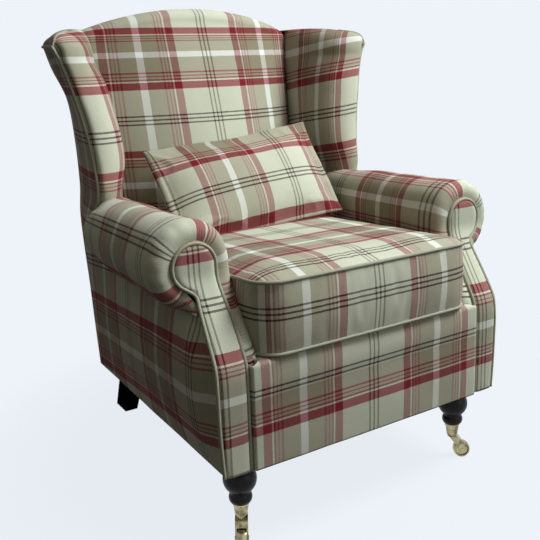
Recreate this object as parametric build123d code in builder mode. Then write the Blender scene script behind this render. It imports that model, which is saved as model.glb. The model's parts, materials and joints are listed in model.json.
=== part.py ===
"""Fireside chair: wing back, scroll arms, turned front legs on brass cup castors.

Millimetres. X runs to the sitter's left-hand arm as seen from the front right, Y runs to the
back, Z is up. The origin is on the floor under the middle of the chair.
"""

from build123d import *
from math import cos, radians, sin, tan
import os

os.makedirs("parts", exist_ok=True)

# ---------------------------------------------------------------- body
front_y = -392.5  # front plane of the arm boards and the front rail
underside_z = 178.0  # underside of the upholstered body
body_depth = 677.0  # arm boards to the outside back, measured at the underside
body_rake = 7.8  # lean of the back frame, degrees from upright
back_y = front_y + body_depth
soft_gap = 0.3  # between neighbouring soft pieces that can part

# ---------------------------------------------------------------- seat frame
rail_lift = 4.0  # turn-under of the covers below the rails
rail_height = 188.0
rail_thickness = 25.0
board_thickness = 24.0  # arm front boards
board_inset = 4.0  # boards inside the edge of their facings
block_leg = 60.0  # corner blocks
block_height = 40.0
back_rail_setback = 20.0  # back seat rail in front of the outside back
dust_cover_thickness = 1.6
rail_z = underside_z + rail_lift
rail_top_z = rail_z + rail_height

# ---------------------------------------------------------------- arms
facing_foot_x = 340.0  # outer edge of the facing at the underside
facing_waist_x = 346.0  # outer edge at its fullest, half way up
facing_neck_x = 340.0  # outer edge under the scroll
facing_neck_drop = 14.0  # neck below the scroll
scroll_x = 337.0
scroll_z = 560.0
scroll_radius = 47.0
scroll_end_angle = -74.0  # where the scroll meets the outer edge
arm_padding = 20.0  # padding beyond the facing
arm_wall = 30.0  # thickness of the padded inside arm
arm_pad_lift = 2.3  # padding above the seat rails
roll_tuck_angle = 2.0  # the roll stops short of the scroll's end
roll_end_setback = 152.0  # back end of the full roll in front of the outside back
arm_crest_angle = 75.0  # share of the roll that runs on inside the wing, degrees
sweep_start_z = 385.0  # the arm fronts stand upright up to here,
sweep_end_z = 525.0  # lean back to here, then stand upright again
sweep_depth = 88.0
sweep_radius = 90.0
facing_thickness = 8.0
piping_width = 7.0
seam_z = 488.0  # join between the outside panel and the roll
seam_x = 354.0
flap_width = 21.0  # padding turned under the arm rail
arm_rail_width = 34.0
arm_rail_height = 45.0
arm_rail_drop = 32.0  # underside of the arm rail below the scroll centre
arm_rail_outer_x = 322.0
tack_rail_z = 400.0
tack_rail_height = 40.0
panel_thickness = 8.0
panel_swell_setback = 60.0  # outside arm panel is fullest this far behind the arm front
panel_swell_x = 372.0
panel_back_x = 333.0
panel_back_bow = 3.0
panel_top_inset = 8.0  # top edge of the panel inside the seam, at the arm front
panel_full_lift = 20.0  # fullest line above the middle of the panel
panel_run_on = 60.0  # drawn past the outside back, then cut off there

# ---------------------------------------------------------------- back
post_inner_x = 276.0
post_width = 40.0
post_depth = 45.0
outside_back_thickness = 7.0
top_rail_thickness = 25.0
top_rail_end = 44.7  # height of its ends, along the rake
lower_rail_z = 205.0  # along the rake
lower_rail_height = 60.0
arch_peak_z = 1054.0
arch_side_z = 1000.0  # where the arch meets the wings
arch_half_width = 290.0
back_cover = 14.0  # padding over the top rail
back_top_round = 24.0
web_width = 50.0
web_thickness = 1.6
web_count = 6
crease_depth = 10.0  # edge of the inside back in front of the webbing
top_rail_shoulder_drop = 6.0
arch_spring_drop = 14.0  # the arch starts this far under the wings' top, past their crease
arch_overreach = 40.0
outer_arch_overreach = 12.0

# Wings: (height, crease x, inner face x and y, front edge x and y, outer back x);
# the y values are measured from the foot of the outside back, behind it where above nought.
wing_stations = (
    (488.0, 270.0, 294.0, -149.0, 342.0, -177.0, 333.0),
    (650.0, 272.0, 291.0, -145.0, 361.0, -177.0, 325.0),
    (760.0, 275.0, 285.0, -139.0, 369.0, -164.0, 325.0),
    (880.0, 280.3, 304.0, -117.0, 394.0, -148.0, 343.0),
    (965.0, 288.0, 350.0, -99.0, 428.0, -132.0, 369.0),
    (1020.0, 293.5, 378.0, -87.0, 446.0, -121.0, 388.0),
)
wing_roll = 25.0  # padded roll in front of the wing's edge
wing_top_back_z = 1001.0
wing_top_front_z = 966.0
wing_top_setback = 122.0  # front of the wing's top in front of the foot of the outside back
wing_board_thickness = 18.0
wing_board_setback = 38.0  # behind the front edge
wing_board_shift = 4.0  # outside the middle of the front roll

# ---------------------------------------------------------------- seat
border_thickness = 12.0
border_edge_round = 10.0
spring_wire = 4.0
spring_count = 5
spring_pitch = 105.0
spring_bends = 14
spring_bend_width = 46.0
clip_width = 26.0
clip_depth = 6.0
deck_thickness = 14.0
seat_level_z = rail_top_z + spring_wire + deck_thickness

# (height, half width, y of the crown measured as the wings' are)
inside_back_stations = (
    (seat_level_z + soft_gap, 269.7, -132.0),
    (560.0, 269.7, -115.0),
    (740.0, 274.0, -71.0),
    (900.0, 281.0, -27.0),
    (1000.0, 291.0, 6.0),
    (1080.0, 300.0, 30.0),
)

cushion_half_width = 269.4
cushion_overhang = 16.0  # front of the cushion in front of the arm boards
cushion_setback = 132.8  # back of the cushion in front of the foot of the outside back
cushion_height = 140.0  # between its two lines of piping, at the front
seat_rake = 3.0  # fall of the cushion top to the back, degrees
cushion_crown = 18.0
cushion_corner = 48.0
cushion_waist = 4.0  # border drawn in between the piped edges
cushion_bow = 2.0  # swell of the front edge
# (share of the crown's height, inset of the outline)
cushion_dome = ((0, 0), (0.38, 12), (0.66, 30), (0.88, 62), (1.0, 120))

scatter_width = 462.0
scatter_height = 280.0
scatter_thickness = 128.0
scatter_lean = 34.0
scatter_turn = -3.0
scatter_x = 13.0
scatter_setback = 180.7  # its middle in front of the foot of the outside back
scatter_lift = 257.8  # its middle above the seat deck
scatter_pull = 13.0  # sides drawn in between the corners
# (share of half the thickness, inset of the outline, share of the pull)
scatter_dome = ((0, 0, 1.0), (0.3, 9, 0.6), (0.62, 30, 0.1), (0.86, 58, -0.6), (1.0, 96, -0.4))

# ---------------------------------------------------------------- legs and castors
front_leg_x = 282.0
front_leg_setback = 54.0  # behind the front plane
leg_ring_height = 22.0
leg_bulb_z = 131.0  # fullest height of the bulb
leg_neck_z = 106.0
back_leg_x = 258.0
back_leg_lead = 7.5  # top of the leg forward of its bolt
back_leg_kick = 132.0  # foot behind the top
back_leg_toe_in = 19.5  # foot inside the top
back_leg_top_width = 46.0
back_leg_top_depth = 60.0
back_leg_foot_width = 35.0
back_leg_foot_depth = 68.0
back_leg_round = 3.0
bolt_radius = 4.0
bolt_length = 70.0
bolt_in_leg = 38.0
bolt_clearance = 0.1

leg_ring_radius = 36.0
leg_bulb_radius = 33.0
leg_neck_radius = 20.0
leg_collar_radius = 23.0
cup_top_z = 84.0
cup_bottom_z = 57.5
cup_top_radius = 15.6
cup_bottom_radius = 12.2
cup_wall = 1.8
cup_floor = 3.0
cup_fit = 0.15
pintle_radius = 4.0
pintle_length = 14.0
pintle_pocket = 5.0
running_clearance = 0.05
cup_lip = 1.2  # bead round the rim of the cup
cup_lip_height = 2.4
castor_gap = 0.5
castor_offset = 22.0
fork_head_radius = 10.5
fork_head_height = 5.0
fork_head_round = 1.2
fork_crotch = 2.5  # air over the wheel
ear_thickness = 2.6
ear_radius = 7.0
wheel_radius = 19.0
wheel_width = 19.0
wheel_side_gap = 0.4
axle_radius = 3.0
rivet_radius = 4.6
rivet_height = 1.2
tread_crown = 1.5
tread_depth = 4.0
tread_bevel = 1.5
hub_radius = 7.5
web_inset = 3.0  # wheel's web inside the ends of its hub
screw_count = 3
screw_z = 77.0
screw_radius = 1.4
screw_clearance = 0.1
screw_head_radius = 2.9
screw_head_height = 1.1
screw_length = 9.0
fork_heel = 4.84  # back arm of the fork, at its bend, behind the post
fork_heel_lift = 16.0
fork_toe = 20.9
fork_toe_lift = 24.0
castor_rest = {"left": 239.0, "right": 329.0}  # heading of each trailing wheel, degrees

# ---------------------------------------------------------------- places worked out from the sizes
roll_end_y = back_y - roll_end_setback
panel_swell_y = front_y + panel_swell_setback
wing_top_front_y = back_y - wing_top_setback
cushion_front_y = front_y - cushion_overhang
cushion_back_y = back_y - cushion_setback
scatter_y = back_y - scatter_setback
scatter_z = seat_level_z + scatter_lift
front_leg_y = front_y + front_leg_setback
rake_rise = cos(radians(body_rake))
arch_crest = (arch_peak_z - underside_z) / rake_rise - back_cover
arch_shoulder = (arch_side_z - underside_z) / rake_rise - back_cover - top_rail_shoulder_drop
post_height = arch_shoulder - top_rail_end

# ================================================================ shared planes and prisms


def rear_y(z, forward=0.0):
    """Y of the raked plane that lies forward of the outside back, at height z."""
    return back_y + (z - underside_z) * tan(radians(body_rake)) - forward / cos(radians(body_rake))


def back_plane(forward):
    """Raked plane that faces forward; its own Y runs up the rake from the underside."""
    lean = radians(body_rake)
    origin = (0, rear_y(underside_z, forward), underside_z)
    return Plane(origin=origin, x_dir=(1, 0, 0), z_dir=(0, -cos(lean), sin(lean)))


def swept_front(start, end):
    """Prism between two copies of the swept arm front, start and end behind it."""
    with BuildPart() as prism:
        with BuildSketch(Plane.YZ):
            with BuildLine():
                sweep_line(start)
            make_face()
            with BuildLine():
                sweep_line(end)
            make_face(mode=Mode.SUBTRACT)
        extrude(amount=body_depth, both=True)
    return prism.part


def sweep_line(offset):
    """Closed outline of everything behind the swept arm front moved back by offset."""
    foot = front_y + offset
    top_z = 2 * scroll_z
    end_y = front_y + 3 * body_depth
    curve = FilletPolyline(
        (foot, 0),
        (foot, sweep_start_z),
        (foot + sweep_depth, sweep_end_z),
        (foot + sweep_depth, top_z),
        radius=sweep_radius,
    )
    Polyline(curve @ 1, (end_y, top_z), (end_y, 0), curve @ 0)


def facing_outline():
    """Scroll-ended outline of the right arm facing, drawn in X and Z."""
    scroll = CenterArc(
        (scroll_x, scroll_z), scroll_radius, start_angle=180, arc_size=scroll_end_angle - 180
    )
    inner = Line((scroll_x - scroll_radius, underside_z), scroll @ 0)
    neck = Line(scroll @ 1, (facing_neck_x, scroll_z - scroll_radius - facing_neck_drop))
    middle_z = (underside_z + scroll_z - scroll_radius) / 2
    outer = ThreePointArc(neck @ 1, (facing_waist_x, middle_z), (facing_foot_x, underside_z))
    Line(outer @ 1, inner @ 0)


def facing_blank(grow=0.0):
    """The facing outline, grown or shrunk, as a long bar through the arm front."""
    with BuildPart() as bar:
        with BuildSketch(Plane.XZ.offset(-front_y + sweep_depth)):
            with BuildLine():
                facing_outline()
            make_face()
            if grow:
                offset(amount=grow, kind=Kind.INTERSECTION)
        extrude(amount=-3 * sweep_depth)
    return bar.part


def save(piece, label):
    """Label a finished piece and write it as its own STEP file."""
    piece.label = label
    export_step(piece, f"parts/{label}.step")


def save_pair(right, name):
    """Write a right-hand piece and its mirror image as two nodes."""
    save(right, f"{name}_right")
    with BuildPart() as left:
        mirror(right, about=Plane.YZ)
    save(left.part, f"{name}_left")


# ================================================================ seat frame
board_x = scroll_x - scroll_radius + board_inset
hollow_x = scroll_x - scroll_radius - arm_padding + arm_wall
rail_level = Plane.XY.offset(rail_z)

with BuildPart() as seat_front_rail:
    with BuildSketch(rail_level):
        with Locations((0, front_y + rail_thickness / 2)):
            Rectangle(2 * board_x, rail_thickness)
    extrude(amount=rail_height)
    add(swept_front(0, body_depth), mode=Mode.INTERSECT)

back_rail_y = back_y - back_rail_setback - rail_thickness
back_leg_y = back_rail_y + rail_thickness / 2
with BuildPart() as seat_back_rail:
    with BuildSketch(rail_level):
        with Locations((0, back_rail_y + rail_thickness / 2)):
            Rectangle(2 * post_inner_x, rail_thickness)
        with Locations((back_leg_x, back_leg_y), (-back_leg_x, back_leg_y)):
            Circle(bolt_radius + bolt_clearance, mode=Mode.SUBTRACT)
    extrude(amount=rail_height)

post_face = back_plane(outside_back_thickness + post_depth)
side_rail_x = hollow_x + rail_thickness / 2
with BuildPart() as seat_side_rail:
    with BuildSketch(Plane.XZ.offset(-front_y)):
        with Locations((side_rail_x, rail_z + rail_height / 2)):
            Rectangle(rail_thickness, rail_height)
    extrude(amount=-body_depth)
    add(swept_front(board_thickness, body_depth), mode=Mode.INTERSECT)
    split(bisect_by=post_face, keep=Keep.TOP)

with BuildPart() as corner_blocks:
    for side in (1, -1):
        with BuildSketch(rail_level):
            with BuildLine():
                Polyline(
                    (side * board_x, front_y + rail_thickness),
                    (side * (board_x - block_leg), front_y + rail_thickness),
                    (side * board_x, front_y + rail_thickness + block_leg),
                    close=True,
                )
            make_face()
            with Locations((side * front_leg_x, front_leg_y)):
                Circle(bolt_radius + bolt_clearance, mode=Mode.SUBTRACT)
        with BuildSketch(rail_level):
            with BuildLine():
                Polyline(
                    (side * post_inner_x, back_rail_y),
                    (side * (post_inner_x - block_leg), back_rail_y),
                    (side * post_inner_x, back_rail_y - block_leg),
                    close=True,
                )
            make_face()
    extrude(amount=block_height)

# ================================================================ arm frame
with BuildPart() as arm_front_board:
    add(facing_blank(-board_inset))
    add(swept_front(0, board_thickness), mode=Mode.INTERSECT)

with BuildPart() as arm_tack_rail:
    with BuildSketch(Plane.XZ.offset(-front_y)):
        with Locations((hollow_x + rail_thickness / 2, tack_rail_z + tack_rail_height / 2)):
            Rectangle(rail_thickness, tack_rail_height)
    extrude(amount=-body_depth)
    add(swept_front(board_thickness, body_depth), mode=Mode.INTERSECT)
    split(bisect_by=post_face, keep=Keep.TOP)

# ================================================================ back frame
post_x = post_inner_x + post_width / 2
with BuildPart() as back_post:
    with BuildSketch(back_plane(outside_back_thickness)):
        with Locations((post_x, post_height)):
            Rectangle(post_width, post_height + rail_height, align=(Align.CENTER, Align.MAX))
    extrude(amount=post_depth)
    split(bisect_by=rail_level, keep=Keep.TOP)

with BuildPart() as back_top_rail:
    with BuildSketch(back_plane(outside_back_thickness)):
        rail_half = post_inner_x + post_width
        with BuildLine():
            base = Polyline(
                (rail_half, arch_shoulder),
                (rail_half, post_height),
                (-rail_half, post_height),
                (-rail_half, arch_shoulder),
            )
            ThreePointArc(base @ 1, (0, arch_crest), base @ 0)
        make_face()
    extrude(amount=top_rail_thickness)

with BuildPart() as back_lower_rail:
    with BuildSketch(back_plane(outside_back_thickness)):
        with Locations((0, lower_rail_z + lower_rail_height / 2)):
            Rectangle(2 * post_inner_x, lower_rail_height)
    extrude(amount=rail_thickness)

strap_z = outside_back_thickness + post_depth
with BuildPart() as back_webbing:
    pitch = (post_height - lower_rail_z - web_width) / web_count
    with BuildSketch(back_plane(strap_z)):
        for count in range(web_count):
            with Locations((0, lower_rail_z + web_width + count * pitch)):
                Rectangle(2 * (post_inner_x + post_width / 2), web_width)
    extrude(amount=web_thickness)

arm_rail_z = scroll_z - arm_rail_drop
arm_rail_front_y = front_y + sweep_depth + board_thickness
with BuildPart() as arm_rail:
    with BuildSketch(Plane.XZ.offset(-arm_rail_front_y)):
        with Locations((arm_rail_outer_x - arm_rail_width / 2, arm_rail_z + arm_rail_height / 2)):
            Rectangle(arm_rail_width, arm_rail_height)
    extrude(amount=-body_depth)
    split(bisect_by=post_face, keep=Keep.TOP)
    add(back_webbing.part, mode=Mode.SUBTRACT)

with BuildPart() as wing_board:
    for height, crease_x, face_x, face_y, edge_x, edge_y, back_x in wing_stations[1:-1]:
        front_x = (face_x + edge_x) / 2 + wing_board_shift
        front_board_y = back_y + edge_y + wing_board_setback
        post_front = rear_y(height, outside_back_thickness + post_depth)
        root_x = post_x
        with BuildSketch(Plane.XY.offset(height)):
            with BuildLine():
                Polyline(
                    (root_x - wing_board_thickness / 2, post_front),
                    (root_x + wing_board_thickness / 2, post_front),
                    (front_x + wing_board_thickness / 2, front_board_y),
                    (front_x - wing_board_thickness / 2, front_board_y),
                    close=True,
                )
            make_face()
    loft()
    add(back_webbing.part, mode=Mode.SUBTRACT)

# ================================================================ springs
spring_z = rail_top_z
spring_start_y = front_y + rail_thickness / 2
spring_end_y = back_rail_y + rail_thickness / 2
bend = (spring_end_y - spring_start_y) / spring_bends
clip_y_step = spring_wire + clip_depth
with BuildPart() as seat_springs:
    for count in range(spring_count):
        spring_x = (count - (spring_count - 1) / 2) * spring_pitch
        with BuildSketch(Plane.XY.offset(spring_z)):
            for row in range(spring_bends + 1):
                with Locations((spring_x, spring_start_y + row * bend)):
                    Rectangle(spring_bend_width, spring_wire)
            for row in range(spring_bends):
                side = 1 if row % 2 else -1
                link_x = spring_x + side * (spring_bend_width - spring_wire) / 2
                with Locations((link_x, spring_start_y + (row + 0.5) * bend)):
                    Rectangle(spring_wire, bend + spring_wire)
        extrude(amount=spring_wire)
save(seat_front_rail.part, "seat_front_rail")
save(seat_back_rail.part, "seat_back_rail")
save_pair(seat_side_rail.part, "seat_side_rail")
save(corner_blocks.part, "corner_blocks")
save_pair(arm_front_board.part, "arm_front_board")
save_pair(arm_rail.part, "arm_rail")
save_pair(arm_tack_rail.part, "arm_tack_rail")
save_pair(back_post.part, "back_post")
save(back_top_rail.part, "back_top_rail")
save(back_lower_rail.part, "back_lower_rail")
save_pair(wing_board.part, "wing_board")
save(seat_springs.part, "seat_springs")

with BuildPart() as spring_clips:
    for clip_y in (spring_start_y, spring_end_y):
        for count in range(spring_count):
            spring_x = (count - (spring_count - 1) / 2) * spring_pitch
            with BuildSketch(Plane.XY.offset(spring_z)):
                with Locations((spring_x, clip_y - clip_y_step / 2), (spring_x, clip_y + clip_y_step / 2)):
                    Rectangle(clip_width, clip_depth)
            extrude(amount=spring_wire)

save(spring_clips.part, "spring_clips")
save(back_webbing.part, "back_webbing")

# ================================================================ padded arms
pad_x = hollow_x - arm_wall
roll_radius = scroll_radius + arm_padding
pad_z = rail_top_z + arm_pad_lift
with BuildPart() as arm_pad:
    with BuildSketch(Plane.XZ.offset(-front_y)):
        with BuildLine():
            inside = Line((pad_x, pad_z), (pad_x, scroll_z))
            roll = CenterArc(
                (scroll_x, scroll_z), roll_radius, start_angle=180, arc_size=scroll_end_angle + roll_tuck_angle - 180
            )
            Polyline(
                roll @ 1,
                (seam_x, seam_z),
                (seam_x - flap_width, seam_z),
                (seam_x - flap_width, arm_rail_z),
                (hollow_x, arm_rail_z),
                (hollow_x, pad_z),
                inside @ 0,
            )
        make_face()
    extrude(amount=-(roll_end_y - front_y))
    with BuildSketch(Plane.XZ.offset(-roll_end_y)):
        with BuildLine():
            inside = Line((pad_x, pad_z), (pad_x, scroll_z))
            crest = CenterArc(
                (scroll_x, scroll_z), roll_radius, start_angle=180, arc_size=-arm_crest_angle
            )
            Polyline(
                crest @ 1,
                ((crest @ 1).X, arm_rail_z),
                (hollow_x, arm_rail_z),
                (hollow_x, pad_z),
                inside @ 0,
            )
        make_face()
    extrude(amount=-body_depth / 2)
    split(bisect_by=post_face, keep=Keep.TOP)
    add(swept_front(0, body_depth), mode=Mode.INTERSECT)
    add(arm_front_board.part, mode=Mode.SUBTRACT)
    add(arm_rail.part, mode=Mode.SUBTRACT)
    add(back_webbing.part, mode=Mode.SUBTRACT)

facing_bar = facing_blank()
facing_band = swept_front(-facing_thickness, 0)
with BuildPart() as facing_panel:
    add(facing_bar)
    add(facing_band, mode=Mode.INTERSECT)

with BuildPart() as facing_piping:
    add(facing_blank(piping_width))
    add(facing_bar, mode=Mode.SUBTRACT)
    add(facing_band, mode=Mode.INTERSECT)
    split(bisect_by=Plane.XY.offset(underside_z), keep=Keep.TOP)

with BuildPart() as outside_arm:
    swell = (
        (front_y - facing_thickness, facing_foot_x, facing_waist_x, seam_x - panel_top_inset),
        (panel_swell_y, facing_foot_x, panel_swell_x, seam_x),
        (back_y + panel_run_on, panel_back_x, panel_back_x + panel_back_bow, panel_back_x),
    )
    middle_z = (underside_z + seam_z) / 2 + panel_full_lift
    for station_y, foot_x, full_x, top_x in swell:
        with BuildSketch(Plane.XZ.offset(-station_y)):
            with BuildLine():
                skin = ThreePointArc((foot_x, underside_z), (full_x, middle_z), (top_x, seam_z))
                lining = ThreePointArc(
                    (top_x - panel_thickness, seam_z),
                    (full_x - panel_thickness, middle_z),
                    (foot_x - panel_thickness, underside_z),
                )
                Line(skin @ 1, lining @ 0)
                Line(lining @ 1, skin @ 0)
            make_face()
    loft(ruled=True)
    add(swept_front(0, 2 * body_depth), mode=Mode.INTERSECT)
    add(arm_front_board.part, mode=Mode.SUBTRACT)
    split(bisect_by=back_plane(outside_back_thickness), keep=Keep.TOP)

save_pair(arm_pad.part, "arm_pad")
save_pair(facing_panel.part, "facing_panel")
save_pair(facing_piping.part, "facing_piping")
save_pair(outside_arm.part, "outside_arm")

# ================================================================ seat
border_half = scroll_x - scroll_radius - piping_width - soft_gap
with BuildPart() as front_border:
    with BuildSketch(Plane.YZ):
        with Locations((front_y, underside_z)):
            Rectangle(
                border_thickness, seat_level_z - underside_z, align=(Align.MAX, Align.MIN)
            )
    extrude(amount=border_half, both=True)
    outer = front_border.faces().sort_by(Axis.Y)[0].edges()
    fillet(outer.sort_by(Axis.Z)[-1], border_edge_round)
    fillet(front_border.edges().filter_by(Axis.Z).group_by(Axis.Y)[0], border_edge_round / 2)

deck_z = rail_top_z + spring_wire
with BuildPart() as seat_deck:
    with BuildSketch(Plane.XY.offset(deck_z)):
        with Locations((0, front_y)):
            Rectangle(
                2 * (pad_x - soft_gap),
                back_rail_y + rail_thickness - front_y,
                align=(Align.CENTER, Align.MIN),
            )
    extrude(amount=seat_level_z - deck_z)

with BuildPart() as dust_cover:
    with BuildSketch(Plane.XY.offset(rail_z - dust_cover_thickness)):
        with Locations((0, front_y)):
            Rectangle(
                2 * (side_rail_x + rail_thickness / 2 - rail_lift),
                body_depth - outside_back_thickness - rail_lift,
                align=(Align.CENTER, Align.MIN),
            )
        for x, y in ((front_leg_x, front_leg_y), (back_leg_x, back_leg_y)):
            with Locations((x, y), (-x, y)):
                Circle(bolt_radius + bolt_clearance, mode=Mode.SUBTRACT)
    extrude(amount=dust_cover_thickness)

# ================================================================ padded back
with BuildPart() as cavity:
    with BuildSketch(back_plane(outside_back_thickness)):
        Rectangle(2 * post_inner_x, 2 * post_height)
    extrude(amount=post_depth + web_thickness)

arch_reach = arch_half_width + arch_overreach
with BuildPart() as inside_back:
    for height, half_width, crown_y in inside_back_stations:
        edge_y = rear_y(height, strap_z + web_thickness + crease_depth)
        with BuildSketch(Plane.XY.offset(height)):
            with BuildLine():
                crown = ThreePointArc(
                    (-half_width, edge_y), (0, back_y + crown_y), (half_width, edge_y)
                )
                Polyline(
                    crown @ 1,
                    (half_width, rear_y(height, outside_back_thickness)),
                    (-half_width, rear_y(height, outside_back_thickness)),
                    crown @ 0,
                )
            make_face()
    loft()
    with BuildSketch(Plane.XZ.offset(-front_y)):
        with BuildLine():
            sides = Polyline(
                (arch_reach, arch_side_z - arch_spring_drop),
                (arch_reach, 0),
                (-arch_reach, 0),
                (-arch_reach, arch_side_z - arch_spring_drop),
            )
            ThreePointArc(sides @ 1, (0, arch_peak_z), sides @ 0)
        make_face()
    extrude(amount=-2 * body_depth, mode=Mode.INTERSECT)
    top_edges = inside_back.faces().sort_by(Axis.Z)[-1].edges().sort_by(Axis.Y)
    fillet([top_edges[0], top_edges[-1]], back_top_round)
    add(cavity.part, mode=Mode.SUBTRACT)
    add(back_post.part, mode=Mode.SUBTRACT)
    mirror(back_post.part, about=Plane.YZ, mode=Mode.SUBTRACT)
    add(back_top_rail.part, mode=Mode.SUBTRACT)
    add(back_webbing.part, mode=Mode.SUBTRACT)

with BuildPart() as wing:
    for height, crease_x, face_x, face_y, edge_x, edge_y, back_x in wing_stations:
        rear = rear_y(height, outside_back_thickness)
        post_front = rear_y(height, strap_z)
        side_x = crease_x + soft_gap
        with BuildSketch(Plane.XY.offset(height)):
            with BuildLine():
                face = Polyline(
                    (back_x, rear), (side_x, rear), (side_x, post_front), (face_x, back_y + face_y)
                )
                roll = ThreePointArc(
                    face @ 1,
                    ((face_x + edge_x) / 2, back_y + (face_y + edge_y) / 2 - wing_roll),
                    (edge_x, back_y + edge_y),
                )
                Line(roll @ 1, face @ 0)
            make_face()
    loft()
    with BuildSketch(Plane.YZ):
        slope = (wing_top_back_z - wing_top_front_z) / (rear_y(wing_top_back_z) - wing_top_front_y)
        low_y = wing_top_front_y - post_height / 2
        high_y = wing_top_front_y + post_height / 2
        with BuildLine():
            Polyline(
                (low_y, 0),
                (low_y, wing_top_front_z - slope * post_height / 2),
                (high_y, wing_top_front_z + slope * post_height / 2),
                (high_y, 0),
                close=True,
            )
        make_face()
    extrude(amount=body_depth, mode=Mode.INTERSECT)
    add(arm_pad.part, mode=Mode.SUBTRACT)
    add(back_post.part, mode=Mode.SUBTRACT)
    add(arm_rail.part, mode=Mode.SUBTRACT)
    add(wing_board.part, mode=Mode.SUBTRACT)
    add(back_top_rail.part, mode=Mode.SUBTRACT)
    add(back_webbing.part, mode=Mode.SUBTRACT)

save(front_border.part, "front_border")
save(seat_deck.part, "seat_deck")
save(dust_cover.part, "dust_cover")
save(inside_back.part, "inside_back")
save_pair(wing.part, "wing")

with BuildPart() as outside_back:
    lean = radians(body_rake)
    with BuildSketch(back_plane(0)):
        with BuildLine():
            heights = [station[0] for station in wing_stations[:-1]]
            widths = [station[-1] for station in wing_stations[:-1]]
            edge = [(panel_back_x, 0)]
            edge += [(x, (z - underside_z) / cos(lean)) for x, z in zip(widths, heights)]
            right = Spline(edge)
            left = Spline([(-x, v) for x, v in edge])
            corner_v = (wing_top_back_z - top_rail_shoulder_drop - underside_z) / cos(lean)
            shoulders = Polyline(right @ 1, (arch_half_width + outer_arch_overreach, corner_v))
            mirror_shoulder = Polyline((-arch_half_width - outer_arch_overreach, corner_v), left @ 1)
            ThreePointArc(
                shoulders @ 1,
                (0, (arch_peak_z - back_top_round - underside_z) / cos(lean)),
                mirror_shoulder @ 0,
            )
            Line(left @ 0, right @ 0)
        make_face()
    extrude(amount=outside_back_thickness)
    split(bisect_by=Plane.XY.offset(underside_z), keep=Keep.TOP)
save(outside_back.part, "outside_back")


# ================================================================ loose cushions
def boxed_outline(inset, bow):
    """Seat cushion outline: rounded front corners, square back, bowed or drawn-in edges."""
    half = cushion_half_width - inset
    low = inset
    high = cushion_back_y - cushion_front_y - inset
    corner = cushion_corner - inset / 4
    back_corner = corner / 3
    turn = 1 - cos(radians(45))
    front = ThreePointArc((-half + corner, low), (0, low - bow), (half - corner, low))
    right_turn = ThreePointArc(
        front @ 1, (half - corner * turn, low + corner * turn), (half, low + corner)
    )
    right = ThreePointArc(
        right_turn @ 1, (half - cushion_waist / 2, (low + high) / 2), (half, high - back_corner)
    )
    back_right = ThreePointArc(
        right @ 1, (half - back_corner * turn, high - back_corner * turn), (half - back_corner, high)
    )
    back = Line(back_right @ 1, (-half + back_corner, high))
    back_left = ThreePointArc(
        back @ 1, (-half + back_corner * turn, high - back_corner * turn), (-half, high - back_corner)
    )
    left = ThreePointArc(
        back_left @ 1, (-half + cushion_waist / 2, (low + high) / 2), (-half, low + corner)
    )
    ThreePointArc(left @ 1, (-half + corner * turn, low + corner * turn), front @ 0)


def seat_plane(height, fall):
    """Level or falling plane whose own Y runs back from the cushion's front edge."""
    return Plane(
        origin=(0, cushion_front_y, height),
        x_dir=(1, 0, 0),
        z_dir=(0, sin(radians(fall)), cos(radians(fall))),
    )


cushion_z = seat_level_z + soft_gap
with BuildPart() as seat_cushion:
    for share, inset in ((0, 0), (0.5, cushion_waist), (1, 0)):
        with BuildSketch(seat_plane(cushion_z + share * cushion_height, share * seat_rake)):
            with BuildLine():
                boxed_outline(inset, cushion_bow)
            make_face()
    loft()
    for share, inset in cushion_dome:
        top_z = cushion_z + cushion_height + share * cushion_crown
        with BuildSketch(seat_plane(top_z, seat_rake)):
            with BuildLine():
                boxed_outline(inset, cushion_bow)
            make_face()
    loft()

scatter_plane = Plane(
    origin=(scatter_x, scatter_y, scatter_z),
    x_dir=(cos(radians(scatter_turn)), 0, -sin(radians(scatter_turn))),
    z_dir=(
        -sin(radians(scatter_turn)) * sin(radians(scatter_lean)),
        -cos(radians(scatter_lean)),
        sin(radians(scatter_lean)) * cos(radians(scatter_turn)),
    ),
)


def pillow_outline(inset, pull):
    """Four drawn-in edges between the corners of the scatter cushion."""
    half_width = scatter_width / 2 - inset
    half_height = scatter_height / 2 - inset
    low = ThreePointArc((-half_width, -half_height), (0, -half_height + pull), (half_width, -half_height))
    right = ThreePointArc(low @ 1, (half_width - pull, 0), (half_width, half_height))
    high = ThreePointArc(right @ 1, (0, half_height - pull), (-half_width, half_height))
    ThreePointArc(high @ 1, (-half_width + pull, 0), low @ 0)


with BuildPart() as scatter_cushion:
    for face in (1, -1):
        for share, inset, pull in scatter_dome:
            with BuildSketch(scatter_plane.offset(face * share * scatter_thickness / 2)):
                with BuildLine():
                    pillow_outline(inset, pull * scatter_pull)
                make_face()
        loft()

save(seat_cushion.part, "seat_cushion")
save(scatter_cushion.part, "scatter_cushion")

# ================================================================ legs

def screw_plane(turn, reach):
    """Upright plane at this reach from the castor's post, facing out along one screw."""
    angle = radians(360 / screw_count * turn)
    outward = (cos(angle), sin(angle), 0)
    return Plane(origin=(reach * outward[0], reach * outward[1], screw_z), z_dir=outward)


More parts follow.
